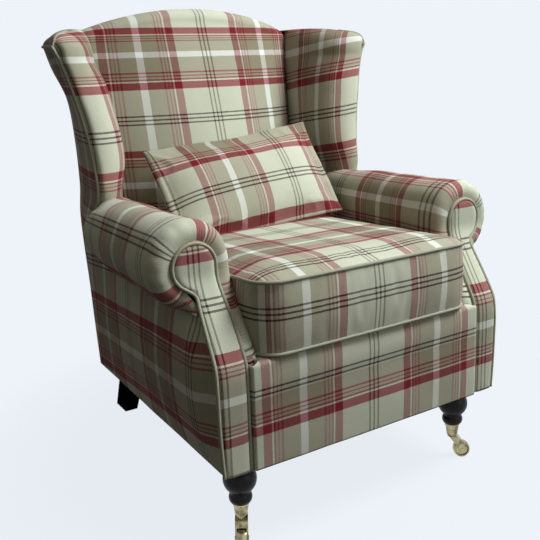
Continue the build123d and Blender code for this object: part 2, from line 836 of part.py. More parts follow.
leg_top_z = rail_z - dust_cover_thickness
head_foot = cup_top_radius - cup_lip
screw_foot = head_foot - screw_length
with BuildPart() as front_leg:
    with BuildSketch(Plane.XZ):
        with BuildLine():
            ring_low = leg_top_z - leg_ring_height
            collar_low = cup_top_z + cup_lip_height
            top = Polyline((0, leg_top_z), (leg_ring_radius - 2, leg_top_z))
            ring = ThreePointArc(
                top @ 1, (leg_ring_radius, (leg_top_z + ring_low) / 2), (leg_ring_radius - 2, ring_low)
            )
            step = Line(ring @ 1, (leg_bulb_radius - 8, ring_low - 3))
            bulb = ThreePointArc(
                step @ 1, (leg_bulb_radius, leg_bulb_z), (leg_neck_radius + 2, leg_neck_z + 4)
            )
            neck = ThreePointArc(
                bulb @ 1, (leg_neck_radius, leg_neck_z), (leg_neck_radius + 1, leg_neck_z - 3)
            )
            collar = ThreePointArc(
                neck @ 1, (leg_collar_radius, (leg_neck_z + collar_low) / 2), (leg_neck_radius, collar_low)
            )
            Polyline(
                collar @ 1,
                (cup_top_radius - cup_wall - cup_fit, cup_top_z),
                (cup_bottom_radius - cup_wall - cup_fit, cup_bottom_z + cup_floor + cup_fit),
                (0, cup_bottom_z + cup_floor + cup_fit),
                top @ 0,
            )
        make_face()
    revolve(axis=Axis.Z)
    bore_radius = bolt_radius + bolt_clearance
    with Locations((0, 0, leg_top_z)):
        Hole(radius=bore_radius, depth=bolt_in_leg + bolt_clearance)
    with BuildSketch(Plane.XY.offset(cup_bottom_z)):
        Circle(pintle_pocket)
    extrude(amount=pintle_length + castor_gap, mode=Mode.SUBTRACT)
    for turn in range(screw_count):
        with BuildSketch(screw_plane(turn, screw_foot)):
            Circle(screw_radius + screw_clearance)
        extrude(amount=screw_length, mode=Mode.SUBTRACT)

with BuildPart() as back_leg:
    top_y = back_leg_y - back_leg_lead
    with BuildSketch(Plane.XY.offset(leg_top_z)):
        with Locations((back_leg_x, top_y)):
            RectangleRounded(back_leg_top_width, back_leg_top_depth, back_leg_round)
    with BuildSketch(Plane.XY):
        with Locations((back_leg_x - back_leg_toe_in, top_y + back_leg_kick)):
            RectangleRounded(back_leg_foot_width, back_leg_foot_depth, back_leg_round)
    loft()
    with Locations((back_leg_x, back_leg_y, leg_top_z)):
        Hole(radius=bore_radius, depth=bolt_in_leg + bolt_clearance)

with BuildPart() as leg_bolts:
    with BuildSketch(Plane.XY.offset(leg_top_z - bolt_in_leg)):
        for x, y in ((front_leg_x, front_leg_y), (back_leg_x, back_leg_y)):
            with Locations((x, y), (-x, y)):
                Circle(bolt_radius)
    extrude(amount=bolt_length)

save_pair(back_leg.part, "back_leg")
save(leg_bolts.part, "leg_bolts")

# ================================================================ castors
with BuildPart() as castor_cup:
    with BuildSketch(Plane.XZ):
        with BuildLine():
            lip = cup_top_radius + cup_lip
            lip_z = cup_top_z - cup_lip_height
            Polyline(
                (pintle_radius + running_clearance, cup_bottom_z),
                (cup_bottom_radius, cup_bottom_z),
                (cup_top_radius, lip_z),
                (lip, lip_z),
                (lip, cup_top_z),
                (cup_top_radius - cup_wall, cup_top_z),
                (cup_bottom_radius - cup_wall, cup_bottom_z + cup_floor),
                (pintle_radius + running_clearance, cup_bottom_z + cup_floor),
                close=True,
            )
        make_face()
    revolve(axis=Axis.Z)
    for turn in range(screw_count):
        with BuildSketch(screw_plane(turn, 0)):
            Circle(screw_radius + screw_clearance)
        extrude(amount=2 * cup_top_radius, mode=Mode.SUBTRACT)

with BuildPart() as castor_screws:
    for turn in range(screw_count):
        with BuildSketch(screw_plane(turn, screw_foot)):
            Circle(screw_radius)
        extrude(amount=screw_length)
        with BuildSketch(screw_plane(turn, head_foot)):
            Circle(screw_head_radius)
        extrude(amount=screw_head_height + cup_lip)
    add(castor_cup.part, mode=Mode.SUBTRACT)

axle_z = wheel_radius
half_gap = wheel_width / 2 + wheel_side_gap
half_fork = half_gap + ear_thickness
head_z = cup_bottom_z - castor_gap - fork_head_height
with BuildPart() as castor_fork:
    with BuildSketch(Plane.XY.offset(head_z)):
        Circle(fork_head_radius)
    extrude(amount=fork_head_height)
    fillet(castor_fork.edges().group_by(Axis.Z)[-1], fork_head_round)
    with BuildSketch(Plane.XY.offset(head_z)):
        Circle(pintle_radius)
    extrude(amount=fork_head_height + castor_gap + pintle_length)
    with BuildSketch(Plane.XZ):
        with BuildLine():
            back = ThreePointArc(
                (-fork_head_radius + 2, head_z + 2),
                (fork_heel, axle_z + fork_heel_lift),
                (castor_offset - ear_radius, axle_z),
            )
            foot = ThreePointArc(
                back @ 1, (castor_offset, axle_z - ear_radius), (castor_offset + ear_radius, axle_z)
            )
            front = ThreePointArc(
                foot @ 1, (fork_toe, axle_z + fork_toe_lift), (fork_head_radius - 2, head_z + 2)
            )
            Line(front @ 1, back @ 0)
        make_face()
    extrude(amount=half_fork, both=True)
    with BuildSketch(Plane.XZ):
        with Locations((castor_offset, axle_z)):
            Circle(wheel_radius + fork_crotch)
            Circle(axle_radius, mode=Mode.SUBTRACT)
    extrude(amount=half_gap, both=True, mode=Mode.SUBTRACT)
    with BuildSketch(Plane.XZ):
        with Locations((castor_offset, axle_z)):
            Circle(axle_radius)
    extrude(amount=2 * half_fork, both=True, mode=Mode.SUBTRACT)

with BuildPart() as castor_axle:
    with BuildSketch(Plane.XZ.offset(-half_fork)):
        with Locations((castor_offset, axle_z)):
            Circle(axle_radius)
    extrude(amount=2 * half_fork)
    for end in (-half_fork, half_fork + rivet_height):
        with BuildSketch(Plane.XZ.offset(end - rivet_height)):
            with Locations((castor_offset, axle_z)):
                Circle(rivet_radius)
        extrude(amount=rivet_height)

with BuildPart() as castor_wheel:
    with BuildSketch(Plane.XY):
        with BuildLine():
            half = wheel_width / 2
            tread_x = wheel_radius - tread_crown
            rim_x = wheel_radius - tread_depth
            web_x = rim_x - tread_bevel
            bore_x = axle_radius + running_clearance
            web_half = half - web_inset
            crown_line = ThreePointArc((tread_x, -half), (wheel_radius, 0), (tread_x, half))
            Polyline(
                crown_line @ 1,
                (rim_x, half),
                (web_x, web_half),
                (hub_radius, web_half),
                (hub_radius, half),
                (bore_x, half),
                (bore_x, -half),
                (hub_radius, -half),
                (hub_radius, -web_half),
                (web_x, -web_half),
                (rim_x, -half),
                crown_line @ 0,
            )
        make_face()
    revolve(axis=Axis.Y)

for name, sign in (("left", -1), ("right", 1)):
    post = Location((sign * front_leg_x, front_leg_y, 0))
    heading = Location((0, 0, 0), (0, 0, castor_rest[name]))
    save(front_leg.part.moved(post), f"front_leg_{name}")
    save(castor_cup.part.moved(post), f"castor_cup_{name}")
    save(castor_screws.part.moved(post), f"castor_screws_{name}")
    save(castor_fork.part.moved(post * heading), f"castor_fork_{name}")
    save(castor_axle.part.moved(post * heading), f"castor_axle_{name}")
    hub = Location((castor_offset, 0, axle_z))
    save(castor_wheel.part.moved(post * heading * hub), f"castor_wheel_{name}")
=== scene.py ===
"""Looks of a fireside chair with wings, scroll arms and brass castors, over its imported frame.

Tables hold millimetres: x from the middle, y back from the front plane of the arms, z from the
floor. `at` turns them into metres in the frame's own axes.
"""

import logging
import math
from bisect import bisect_right
from dataclasses import dataclass, field
from enum import Enum
from typing import Callable, Iterable, Sequence

import bmesh
import bpy
from mathutils import Matrix, Vector, noise
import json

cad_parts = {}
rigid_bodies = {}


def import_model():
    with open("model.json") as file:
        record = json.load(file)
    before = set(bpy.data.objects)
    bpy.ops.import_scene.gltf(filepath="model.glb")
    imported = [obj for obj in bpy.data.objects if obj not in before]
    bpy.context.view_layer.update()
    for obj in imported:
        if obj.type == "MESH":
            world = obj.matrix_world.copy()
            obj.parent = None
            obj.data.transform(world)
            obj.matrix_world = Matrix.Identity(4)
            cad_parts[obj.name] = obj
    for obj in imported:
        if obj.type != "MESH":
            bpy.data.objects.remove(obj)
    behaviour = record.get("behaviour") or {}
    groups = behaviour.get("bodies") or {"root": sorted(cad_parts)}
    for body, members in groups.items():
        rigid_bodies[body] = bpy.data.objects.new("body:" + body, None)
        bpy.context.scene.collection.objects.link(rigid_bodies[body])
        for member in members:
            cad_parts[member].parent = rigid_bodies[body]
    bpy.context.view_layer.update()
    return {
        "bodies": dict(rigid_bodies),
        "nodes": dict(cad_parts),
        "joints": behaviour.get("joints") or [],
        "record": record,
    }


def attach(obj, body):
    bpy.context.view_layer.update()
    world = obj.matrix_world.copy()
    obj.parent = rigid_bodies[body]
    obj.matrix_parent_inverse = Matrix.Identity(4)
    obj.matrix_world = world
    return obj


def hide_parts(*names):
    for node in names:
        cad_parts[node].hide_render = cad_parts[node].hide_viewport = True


log = logging.getLogger("fireside_chair")

FRONT_PLANE = -392.5
CLOTH_MAP = "cloth"
# metres: the walls of open covers, and the half thickness of the piping
COVER_WALL, THIN_WALL, PIPING_RADIUS = 0.003, 0.002, 0.0036
# how long a cushion's cover fills out
FILLING_FRAMES = 20
Point = tuple[float, float, float]
Place = Callable[[float, float], Vector]
Lay = Callable[[float, float], tuple[float, float]]


class Side(Enum):
    """The two hands of the chair, as seen from the front."""

    LEFT = -1
    RIGHT = 1

    @property
    def word(self) -> str:
        """The side's name as it ends a node's name."""
        return self.name.lower()


# ------------------------------------------------------------------ measuring


def at(x: float, y: float, z: float) -> Vector:
    """Turns a place in the chair's own millimetres into the frame's metres."""
    return Vector((x / 1000, (FRONT_PLANE + y) / 1000, z / 1000))


def depth_of(place: Vector) -> float:
    """How far a place in metres lies back from the front plane, in millimetres."""
    return place.y * 1000 - FRONT_PLANE


def mix(low: float, high: float, share: float) -> float:
    """A number this share of the way from low to high."""
    return low + (high - low) * share


def ease(share: float) -> float:
    """A share that starts and ends gently."""
    share = min(max(share, 0.0), 1.0)
    return share * share * (3 - 2 * share)


@dataclass(frozen=True)
class Contour:
    """A smooth curve through rows of numbers, read by the first number of each row."""

    rows: tuple[tuple[float, ...], ...]

    def __call__(self, key: float) -> tuple[float, ...]:
        """Reads the curve.

        Args:
            key: where to read it; outside the rows the end values hold.

        Returns:
            The other numbers of the row at that key.
        """
        keys = [row[0] for row in self.rows]
        if key <= keys[0]:
            return self.rows[0][1:]
        if key >= keys[-1]:
            return self.rows[-1][1:]
        spot = bisect_right(keys, key) - 1
        low, high = self.rows[spot], self.rows[spot + 1]
        before = self.rows[max(spot - 1, 0)]
        after = self.rows[min(spot + 2, len(keys) - 1)]
        span = high[0] - low[0]
        share = (key - low[0]) / span
        found = []
        for column in range(1, len(low)):
            start = (high[column] - before[column]) / (high[0] - before[0]) * span
            end = (after[column] - low[column]) / (after[0] - low[0]) * span
            found.append(
                (1 + 2 * share) * (1 - share) ** 2 * low[column]
                + share * (1 - share) ** 2 * start
                + share**2 * (3 - 2 * share) * high[column]
                - share**2 * (1 - share) * end
            )
        return tuple(found)


def rounded_through(points: Sequence[Point], step: int) -> list[Vector]:
    """A smooth run of places through points in the chair's millimetres.

    Args:
        points: the places that it goes through.
        step: how many places it gets for each point.

    Returns:
        The run, in metres.
    """
    places = [at(*point) for point in points]
    count = len(places)
    run = []
    for spot in range(count - 1):
        a, b = places[max(spot - 1, 0)], places[spot]
        c, d = places[spot + 1], places[min(spot + 2, count - 1)]
        for part in range(step):
            t = part / step
            run.append(
                0.5
                * (
                    2 * b
                    + (c - a) * t
                    + (2 * a - 5 * b + 4 * c - d) * t**2
                    + (3 * b - a - 3 * c + d) * t**3
                )
            )
    run.append(places[-1])
    return run


def reaches(run: Sequence[Vector]) -> list[float]:
    """How far along a run each of its places lies."""
    reach = [0.0]
    for a, b in zip(run, run[1:]):
        reach.append(reach[-1] + (b - a).length)
    return reach


def paced(run: Sequence[Vector], count: int, closed: bool = False) -> list[Vector]:
    """The same run with its places evenly apart."""
    line = list(run) + ([run[0]] if closed else [])
    reach = reaches(line)
    even = []
    for spot in range(count if closed else count + 1):
        want = reach[-1] * spot / count
        piece = min(bisect_right(reach, want) - 1, len(line) - 2)
        length = reach[piece + 1] - reach[piece]
        share = (want - reach[piece]) / length if length else 0.0
        even.append(line[piece].lerp(line[piece + 1], share))
    return even


# ------------------------------------------------------------------ finishes


class Nodes:
    """The node tree of a material or a world, with short ways to add to it."""

    def __init__(self, owner: bpy.types.Material | bpy.types.World) -> None:
        """Empties the owner's tree."""
        owner.use_nodes = True
        self.tree = owner.node_tree
        self.tree.nodes.clear()

    def link(self, source: bpy.types.NodeSocket, target: bpy.types.NodeSocket) -> None:
        """Joins two sockets."""
        self.tree.links.new(source, target)

    def node(self, kind: str, **settings: object) -> bpy.types.Node:
        """Adds a node and sets its properties."""
        made = self.tree.nodes.new(kind)
        for name, value in settings.items():
            setattr(made, name, value)
        return made

    def feed(self, socket: bpy.types.NodeSocket, value: object) -> None:
        """Links a socket, or sets it where the value is a plain one."""
        if isinstance(value, bpy.types.NodeSocket):
            self.link(value, socket)
        else:
            socket.default_value = value

    def result(self, kind: str, *values: object, **settings: object) -> bpy.types.NodeSocket:
        """The first result of a new node that is fed these values in order."""
        made = self.node(kind, **settings)
        for socket, value in zip(made.inputs, values):
            self.feed(socket, value)
        return made.outputs[0]

    def math(self, operation: str, *values: object) -> bpy.types.NodeSocket:
        """A Math node's result."""
        return self.result("ShaderNodeMath", *values, operation=operation)


class Shader(Nodes):
    """A material of one main shader."""

    def __init__(self, name: str) -> None:
        """Starts the material with its output and its main shader."""
        self.material = bpy.data.materials.new(name)
        super().__init__(self.material)
        self.surface = self.node("ShaderNodeBsdfPrincipled")
        output = self.node("ShaderNodeOutputMaterial")
        self.link(self.surface.outputs[0], output.inputs["Surface"])

    def blend(
        self, way: str, share: object, first: object, second: object
    ) -> bpy.types.NodeSocket:
        """A colour mix of two colours."""
        made = self.node("ShaderNodeMix", data_type="RGBA", blend_type=way)
        self.feed(made.inputs[0], share)
        self.feed(made.inputs[6], first)
        self.feed(made.inputs[7], second)
        return made.outputs[2]

    def noise(
        self, where: object, scale: float, detail: float = 2.0, rough: float = 0.5
    ) -> bpy.types.NodeSocket:
        """A noise pattern's value at a place."""
        made = self.node("ShaderNodeTexNoise")
        self.feed(made.inputs["Vector"], where)
        made.inputs["Scale"].default_value = scale
        made.inputs["Detail"].default_value = detail
        made.inputs["Roughness"].default_value = rough
        return made.outputs[0]

    def ramp(
        self, value: object, stops: Iterable[tuple[float, Point]], hard: bool = False
    ) -> bpy.types.NodeSocket:
        """A colour ramp of (place, colour) stops."""
        made = self.node("ShaderNodeValToRGB")
        made.color_ramp.interpolation = "CONSTANT" if hard else "LINEAR"
        elements = made.color_ramp.elements
        for spot, (place, colour) in enumerate(stops):
            element = elements[spot] if spot < 2 else elements.new(place)
            element.position = place
            element.color = (*colour, 1.0)
        self.feed(made.inputs[0], value)
        return made.outputs[0]

    def raise_surface(self, height: object, distance: float, strength: float = 1.0) -> None:
        """Gives the surface a bump."""
        made = self.node("ShaderNodeBump")
        made.inputs["Strength"].default_value = strength
        made.inputs["Distance"].default_value = distance
        self.feed(made.inputs["Height"], height)
        self.link(made.outputs[0], self.surface.inputs["Normal"])

    def set(self, **values: object) -> None:
        """Sets the main shader's sockets; spaces in their names are written as underscores."""
        for name, value in values.items():
            self.feed(self.surface.inputs[name.replace("_", " ")], value)

    def object_place(self) -> bpy.types.NodeSocket:
        """Object coordinates."""
        return self.node("ShaderNodeTexCoord").outputs["Object"]


@dataclass(frozen=True)
class WoolPlaid:
    """Brushed twill wool, woven in a plaid whose sett repeats both ways.

    The bands are thread colours as shares of the palest yarn; a place's colour is the product of
    the band that crosses it each way.
    """

    name: str = "plaid_wool"
    repeat: float = 338.0
    twill: float = 3.4
    # overall tone of the cloth; the piping's darker base is painted shade
    base: Point = (0.755, 0.795, 0.785)
    cream: Point = (0.866, 0.862, 0.775)
    taupe: Point = (0.575, 0.53, 0.44)
    white: Point = (1.0, 1.0, 1.0)
    grey: Point = (0.36, 0.34, 0.29)
    dark: Point = (0.13, 0.10, 0.09)
    rose: Point = (0.52, 0.25, 0.26)
    crimson: Point = (0.46, 0.032, 0.085)

    def bands(self, red: Point, dark: Point) -> list[tuple[float, Point]]:
        """One repeat of the sett, from the middle of the dark lines.

        Args:
            red: the red yarn of this direction.
            dark: its darkest yarn.

        Returns:
            Each band's start in millimetres and its colour.
        """
        half = [
            (0.0, dark),
            (2.0, self.cream),
            (8.5, dark),
            (12.5, self.cream),
            (79.0, red),
            (97.0, self.cream),
            (101.0, red),
            (104.5, self.taupe),
            (109.75, red),
            (113.25, self.taupe),
            (118.5, red),
            (122.0, self.taupe),
            (160.5, self.white),
        ]
        ends = [start for start, _ in half[1:]] + [self.repeat / 2]
        back = [
            (self.repeat - end, colour) for (_, colour), end in zip(reversed(half), reversed(ends))
        ]
        return half + back[1:]

    def build(self) -> bpy.types.Material:
        """Makes the material.

        Returns:
            The wool, which reads the piece's cloth map in metres.
        """
        shader = Shader(self.name)
        cloth = shader.node("ShaderNodeUVMap", uv_map=CLOTH_MAP).outputs[0]
        waver = shader.noise(cloth, 260.0, 1.0)
        split = shader.node("ShaderNodeSeparateXYZ")
        shader.link(cloth, split.inputs[0])
        across, along = split.outputs[0], split.outputs[1]
        shift = shader.math("MULTIPLY_ADD", waver, 0.0016, -0.0008)
        yarns = []
        ways = ((across, self.rose, self.grey), (along, self.crimson, self.dark))
        for value, red, dark in ways:
            moved = shader.math("ADD", value, shift)
            place = shader.math("FRACT", shader.math("MULTIPLY", moved, 1000 / self.repeat))
            stops = [(start / self.repeat, colour) for start, colour in self.bands(red, dark)]
            yarns.append(shader.ramp(place, stops, hard=True))
        warp, weft = yarns
        crossing = shader.math("ADD", across, along)
        rib = shader.math("SINE", shader.math("MULTIPLY", crossing, math.tau * 1000 / self.twill))
        rib = shader.math("MULTIPLY_ADD", rib, 0.5, 0.5)
        together = shader.blend("MULTIPLY", 1.0, warp, weft)
        warp_alone = shader.blend("MULTIPLY", 1.0, warp, warp)
        weft_alone = shader.blend("MULTIPLY", 1.0, weft, weft)
        threads = shader.blend("MIX", rib, warp_alone, weft_alone)
        woven = shader.blend("MIX", 0.42, together, threads)
        nap = shader.noise(cloth, 420.0, 3.0, 0.7)
        cloud = shader.noise(cloth, 9.0, 2.0)
        shade = shader.math("MULTIPLY_ADD", nap, 0.46, 0.71)
        shade = shader.math("MULTIPLY", shade, shader.math("MULTIPLY_ADD", cloud, 0.12, 0.94))
        shade = shader.math("MULTIPLY", shade, shader.math("MULTIPLY_ADD", rib, 0.16, 0.92))
        grey = shader.node("ShaderNodeCombineXYZ")
        for socket in grey.inputs:
            shader.link(shade, socket)
        # Multiplies in the base colour: the cloth's own tone, and on the piping a darker base that
        # paints shade.
        dyed_and_shaded = shader.blend("MULTIPLY", 1.0, woven, (*self.base, 1.0))
        dyed_and_shaded = shader.blend("MULTIPLY", 1.0, dyed_and_shaded, grey.outputs[0])
        height = shader.math("MULTIPLY_ADD", nap, 0.8, rib)
        shader.raise_surface(height, 0.0005, 0.4)
        shader.set(Base_Color=dyed_and_shaded, Roughness=0.92, Sheen_Weight=0.08, Sheen_Roughness=0.45)
        shader.set(Specular_IOR_Level=0.12)
        return shader.material


@dataclass(frozen=True)
class Polish:
    """Turned or planed wood: grain along Z under a coat."""

    name: str
    light: Point
    deep: Point
    roughness: float = 0.3
    coat: float = 0.5
    shine: float = 0.4

    def build(self) -> bpy.types.Material:
        """Makes the wood."""
        shader = Shader(self.name)
        stretch = shader.node("ShaderNodeMapping")
        stretch.inputs["Scale"].default_value = (1.0, 1.0, 0.07)
        shader.link(shader.object_place(), stretch.inputs[0])
        grain = shader.noise(stretch.outputs[0], 140.0, 5.0, 0.6)
        colour = shader.ramp(grain, ((0.3, self.deep), (0.75, self.light)))
        worn = shader.noise(shader.object_place(), 30.0, 3.0)
        rough = shader.math("MULTIPLY_ADD", worn, 0.22, self.roughness - 0.08)
        shader.raise_surface(grain, 0.0003, 0.25)
        shader.set(Base_Color=colour, Roughness=rough, Coat_Weight=self.coat, Coat_Roughness=0.16)
        shader.set(Specular_IOR_Level=self.shine)
        return shader.material


@dataclass(frozen=True)
class OldBrass:
    """Polished brass that has dulled in its hollows."""

    name: str = "castor_brass"
    bright: Point = (0.50, 0.45, 0.26)
    dull: Point = (0.17, 0.145, 0.075)

    def build(self) -> bpy.types.Material:
        """Makes the brass."""
        shader = Shader(self.name)
        place = shader.object_place()
        cloud = shader.noise(place, 70.0, 4.0, 0.6)
        colour = shader.ramp(cloud, ((0.32, self.dull), (0.62, self.bright)))
        turned = shader.noise(place, 900.0, 2.0)
        rough = shader.math("MULTIPLY_ADD", cloud, -0.18, 0.36)
        shader.raise_surface(turned, 0.0001, 0.2)
        shader.set(Base_Color=colour, Metallic=1.0, Roughness=rough)
        return shader.material


@dataclass(frozen=True)
class Sprung:
    """Zinc-plated steel of the springs, clips and bolts."""

    name: str = "spring_steel"
    colour: Point = (0.42, 0.42, 0.43)

    def build(self) -> bpy.types.Material:
        """Makes the steel."""
        shader = Shader(self.name)
        spots = shader.noise(shader.object_place(), 120.0, 4.0)
        tone = shader.ramp(spots, ((0.3, tuple(0.7 * c for c in self.colour)), (0.7, self.colour)))
        shader.raise_surface(spots, 0.0002, 0.2)
        shader.set(Base_Color=tone, Metallic=1.0, Roughness=0.38)
        return shader.material


@dataclass(frozen=True)
class PlainCloth:
    """A plain woven or felted cloth, in threads of a given pitch."""

    name: str
    colour: Point
    pitch: float
    depth: float = 0.0006

    def build(self) -> bpy.types.Material:
        """Makes the cloth."""
        shader = Shader(self.name)
        split = shader.node("ShaderNodeSeparateXYZ")
        shader.link(shader.object_place(), split.inputs[0])
        turns = math.tau * 1000 / self.pitch
        over = shader.math("SINE", shader.math("MULTIPLY", split.outputs[0], turns))
        under = shader.math("SINE", shader.math("MULTIPLY", split.outputs[1], turns))
        basket = shader.math("MULTIPLY", over, under)
        fuzz = shader.noise(shader.object_place(), 300.0, 3.0)
        light = shader.math("MULTIPLY_ADD", basket, 0.25, shader.math("ADD", fuzz, 0.1))
        dark = tuple(0.45 * c for c in self.colour)
        tone = shader.ramp(light, ((0.2, dark), (0.8, self.colour)))
        shader.raise_surface(light, self.depth, 0.5)
        shader.set(Base_Color=tone, Roughness=0.95, Sheen_Weight=0.1, Specular_IOR_Level=0.2)
        return shader.material


@dataclass
class Finishes:
    """Every finish of the chair, made once."""

    wool: bpy.types.Material = field(default_factory=WoolPlaid().build)
    # The piping is the same plaid wool on a darker base: a shaded copy, which paints shade along
    # the piped seams.
    piping: bpy.types.Material = field(
        default_factory=WoolPlaid("plaid_piping", base=(0.50, 0.52, 0.49)).build
    )
    leg_wood: bpy.types.Material = field(
        default_factory=Polish(
            "ebonised_wood", (0.014, 0.009, 0.007), (0.004, 0.003, 0.003), 0.36, 0.04, 0.15
        ).build
    )
    square_leg_wood: bpy.types.Material = field(
        default_factory=Polish(
            "ebonised_square_wood", (0.010, 0.007, 0.006), (0.004, 0.003, 0.003), 0.7, 0.0, 0.0
        ).build
    )
    frame_wood: bpy.types.Material = field(
        default_factory=Polish(
            "frame_hardwood", (0.52, 0.36, 0.21), (0.36, 0.23, 0.12), 0.6, 0.0
        ).build
    )
    brass: bpy.types.Material = field(default_factory=OldBrass().build)
    steel: bpy.types.Material = field(default_factory=Sprung().build)
    webbing: bpy.types.Material = field(
        default_factory=PlainCloth("webbing_weave", (0.42, 0.33, 0.2), 4.0).build
    )
    felt: bpy.types.Material = field(
        default_factory=PlainCloth("deck_felt", (0.30, 0.27, 0.23), 2.0).build
    )
    dust_cloth: bpy.types.Material = field(
        default_factory=PlainCloth("dust_cloth", (0.03, 0.03, 0.03), 1.6, 0.0002).build
    )


# ------------------------------------------------------------------ sewing


def linked(name: str, data: bpy.types.ID) -> bpy.types.Object:
    """A new object of some data, in the scene."""
    made = bpy.data.objects.new(name, data)
    bpy.context.scene.collection.objects.link(made)
    return made


class Sewing:
    """A piece of upholstery in the making: panels of cloth that are sewn into one mesh."""

    def __init__(self) -> None:
        """Starts with nothing on the table."""
        self.bm = bmesh.new()
        self.cloth = self.bm.loops.layers.uv.new(CLOTH_MAP)

    def panel(self, columns: int, rows: int, place: Place, lay: Lay, flip: bool = False) -> None:
        """Cuts a panel and shapes it.

        Args:
            columns: cells across.
            rows: cells along.
            place: where a share across and a share along lies, in metres.
            lay: where it lies on the cloth, in metres.
            flip: whether its right side is the other one.
        """
        grid = bmesh.ops.create_grid(self.bm, x_segments=columns, y_segments=rows, size=0.5)
        made = grid["verts"]
        shares = {vert: (vert.co.x + 0.5, vert.co.y + 0.5) for vert in made}
        faces = list({face for vert in made for face in vert.link_faces})
        for face in faces:
            for loop in face.loops:
                loop[self.cloth].uv = lay(*shares[loop.vert])
        for vert, share in shares.items():
            vert.co = place(*share)
        if flip:
            bmesh.ops.reverse_faces(self.bm, faces=faces)

    def tube(self, run: Sequence[Vector], radius: float, closed: bool, start: float = 0.0) -> None:
        """Sews a round cord along a run.

        Args:
            run: its middle line.
            radius: of the cord, in metres.
            closed: whether the run comes back on itself.
            start: where it starts on the bias-cut cloth.
        """
        around = 10
        line = list(run) + ([run[0]] if closed else [])
        count = len(line)
        heads = []
        for spot in range(count):
            if closed:
                a, b = line[(spot - 1) % (count - 1)], line[(spot + 1) % (count - 1)]
            else:
                a, b = line[max(spot - 1, 0)], line[min(spot + 1, count - 1)]
            heads.append((b - a).normalized())
        side = heads[0].orthogonal().normalized()
        frames = []
        for head in heads:
            side = (side - head * side.dot(head)).normalized()
            frames.append((side, head.cross(side)))
        reach = reaches(line)

        def place(across: float, along: float) -> Vector:
            spot = round(along * (count - 1))
            one, other = frames[spot]
            angle = math.tau * across
            return line[spot] + (one * math.cos(angle) + other * math.sin(angle)) * radius

        def lay(across: float, along: float) -> tuple[float, float]:
            run_on = start + reach[round(along * (count - 1))]
            return 0.046 + 0.028 * math.sin(run_on * 11), 0.026 + across * math.tau * radius

        self.panel(around, count - 1, place, lay)
        if not closed:
            bmesh.ops.remove_doubles(self.bm, verts=self.bm.verts[:], dist=1e-6)
            loose = [edge for edge in self.bm.edges if edge.is_boundary]
            bmesh.ops.holes_fill(self.bm, edges=loose, sides=0)

    def finish(
        self, name: str, material: bpy.types.Material, thick: float = 0.0
    ) -> bpy.types.Object:
        """Closes the seams and makes the object.

        Args:
            name: of the piece.
            material: its cloth.
            thick: a wall that an open piece gets on its inside.

        Returns:
            The finished object, at the origin.
        """
        bmesh.ops.remove_doubles(self.bm, verts=self.bm.verts[:], dist=2e-5)
        for face in self.bm.faces:
            face.smooth = True
        if not any(edge.is_boundary for edge in self.bm.edges):
            bmesh.ops.recalc_face_normals(self.bm, faces=self.bm.faces[:])
        mesh = bpy.data.meshes.new(name)
        self.bm.to_mesh(mesh)
        self.bm.free()
        mesh.materials.append(material)
        piece = linked(name, mesh)
        if thick:
            wall = piece.modifiers.new("cloth wall", "SOLIDIFY")
            wall.thickness = thick
            wall.offset = -1.0
        return piece


def plump(
    piece: bpy.types.Object, held: Callable[[Vector], bool], most: float, grow: float
) -> None:
    """Lets a cushion's cover fill out under the pressure of its filling.

    Args:
        piece: the closed cover.
        held: whether the cloth is held at a place.
        most: how far it may move, in metres.
        grow: how much too large the cloth is cut, which gives it soft wrinkles.
    """
    scene = bpy.context.scene
    start = [vertex.co.copy() for vertex in piece.data.vertices]
    group = piece.vertex_groups.new(name="held")
    group.add([spot for spot, place in enumerate(start) if held(place)], 1.0, "REPLACE")
    cloth = piece.modifiers.new("filling", "CLOTH")
    cloth.settings.quality = 4
    cloth.settings.mass = 0.3
    cloth.settings.tension_stiffness = 12
    cloth.settings.compression_stiffness = 12
    cloth.settings.shear_stiffness = 5
    cloth.settings.bending_stiffness = 1.5
    cloth.settings.use_pressure = True
    cloth.settings.uniform_pressure_force = 4.0
    cloth.settings.shrink_min = -grow
    cloth.settings.vertex_group_mass = "held"
    cloth.settings.effector_weights.gravity = 0.0
    cloth.point_cache.frame_start, cloth.point_cache.frame_end = 1, FILLING_FRAMES
    for frame in range(1, FILLING_FRAMES + 1):
        scene.frame_set(frame)
    made = piece.evaluated_get(bpy.context.evaluated_depsgraph_get()).to_mesh()
    ends = [vertex.co.copy() for vertex in made.vertices]
    piece.modifiers.remove(cloth)
    piece.vertex_groups.clear()
    scene.frame_set(1)
    for vertex, before, after in zip(piece.data.vertices, start, ends):
        moved = after - before
        if moved.length > most:
            moved *= most / moved.length
        vertex.co = before + moved
    log.info("%s filled out", piece.name)


def mirrored(side: Side, place: Vector) -> Vector:
    """A right-hand place put on the wanted side."""
    return Vector((place.x * side.value, place.y, place.z))


def declare(
    piece: bpy.types.Object,
    body: str,
    nodes: Sequence[str],
) -> None:
    """Tells the frame what a piece rides on and stands for.

    Args:
        piece: the finished object.
        body: the body that it moves with.
        nodes: the nodes that it stands for.
    """
    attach(piece, body)
    if nodes:
        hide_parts(*nodes)
    log.info("%s rides on %s and replaces %s", piece.name, body, ", ".join(nodes) or "nothing")


# ------------------------------------------------------------------ shared lines of the body

SWEEP = Contour(
    (
        (178, 0), (355, 0), (372, 1.5), (385, 3.6), (407, 14), (455, 44), (503, 74),
        (525, 84.4), (538, 87.5), (555, 88), (700, 88),
    )
)
# (height, half width of the back's outer edge)
REAR_EDGE = Contour(
    (
        (178, 332), (381, 333), (541, 334), (619, 325), (766, 324), (848, 332), (911, 357),
        (966, 372),
    )
)
# (height, x and y of the wing's outer seam)
WING_SEAM = Contour(
    (
        (590, 364, 520), (615, 362, 508), (650, 361, 500), (700, 363, 506), (760, 369, 513),
        (820, 380, 520), (880, 394, 531), (930, 409, 538), (956.5, 421.5, 540.5),
    )
)
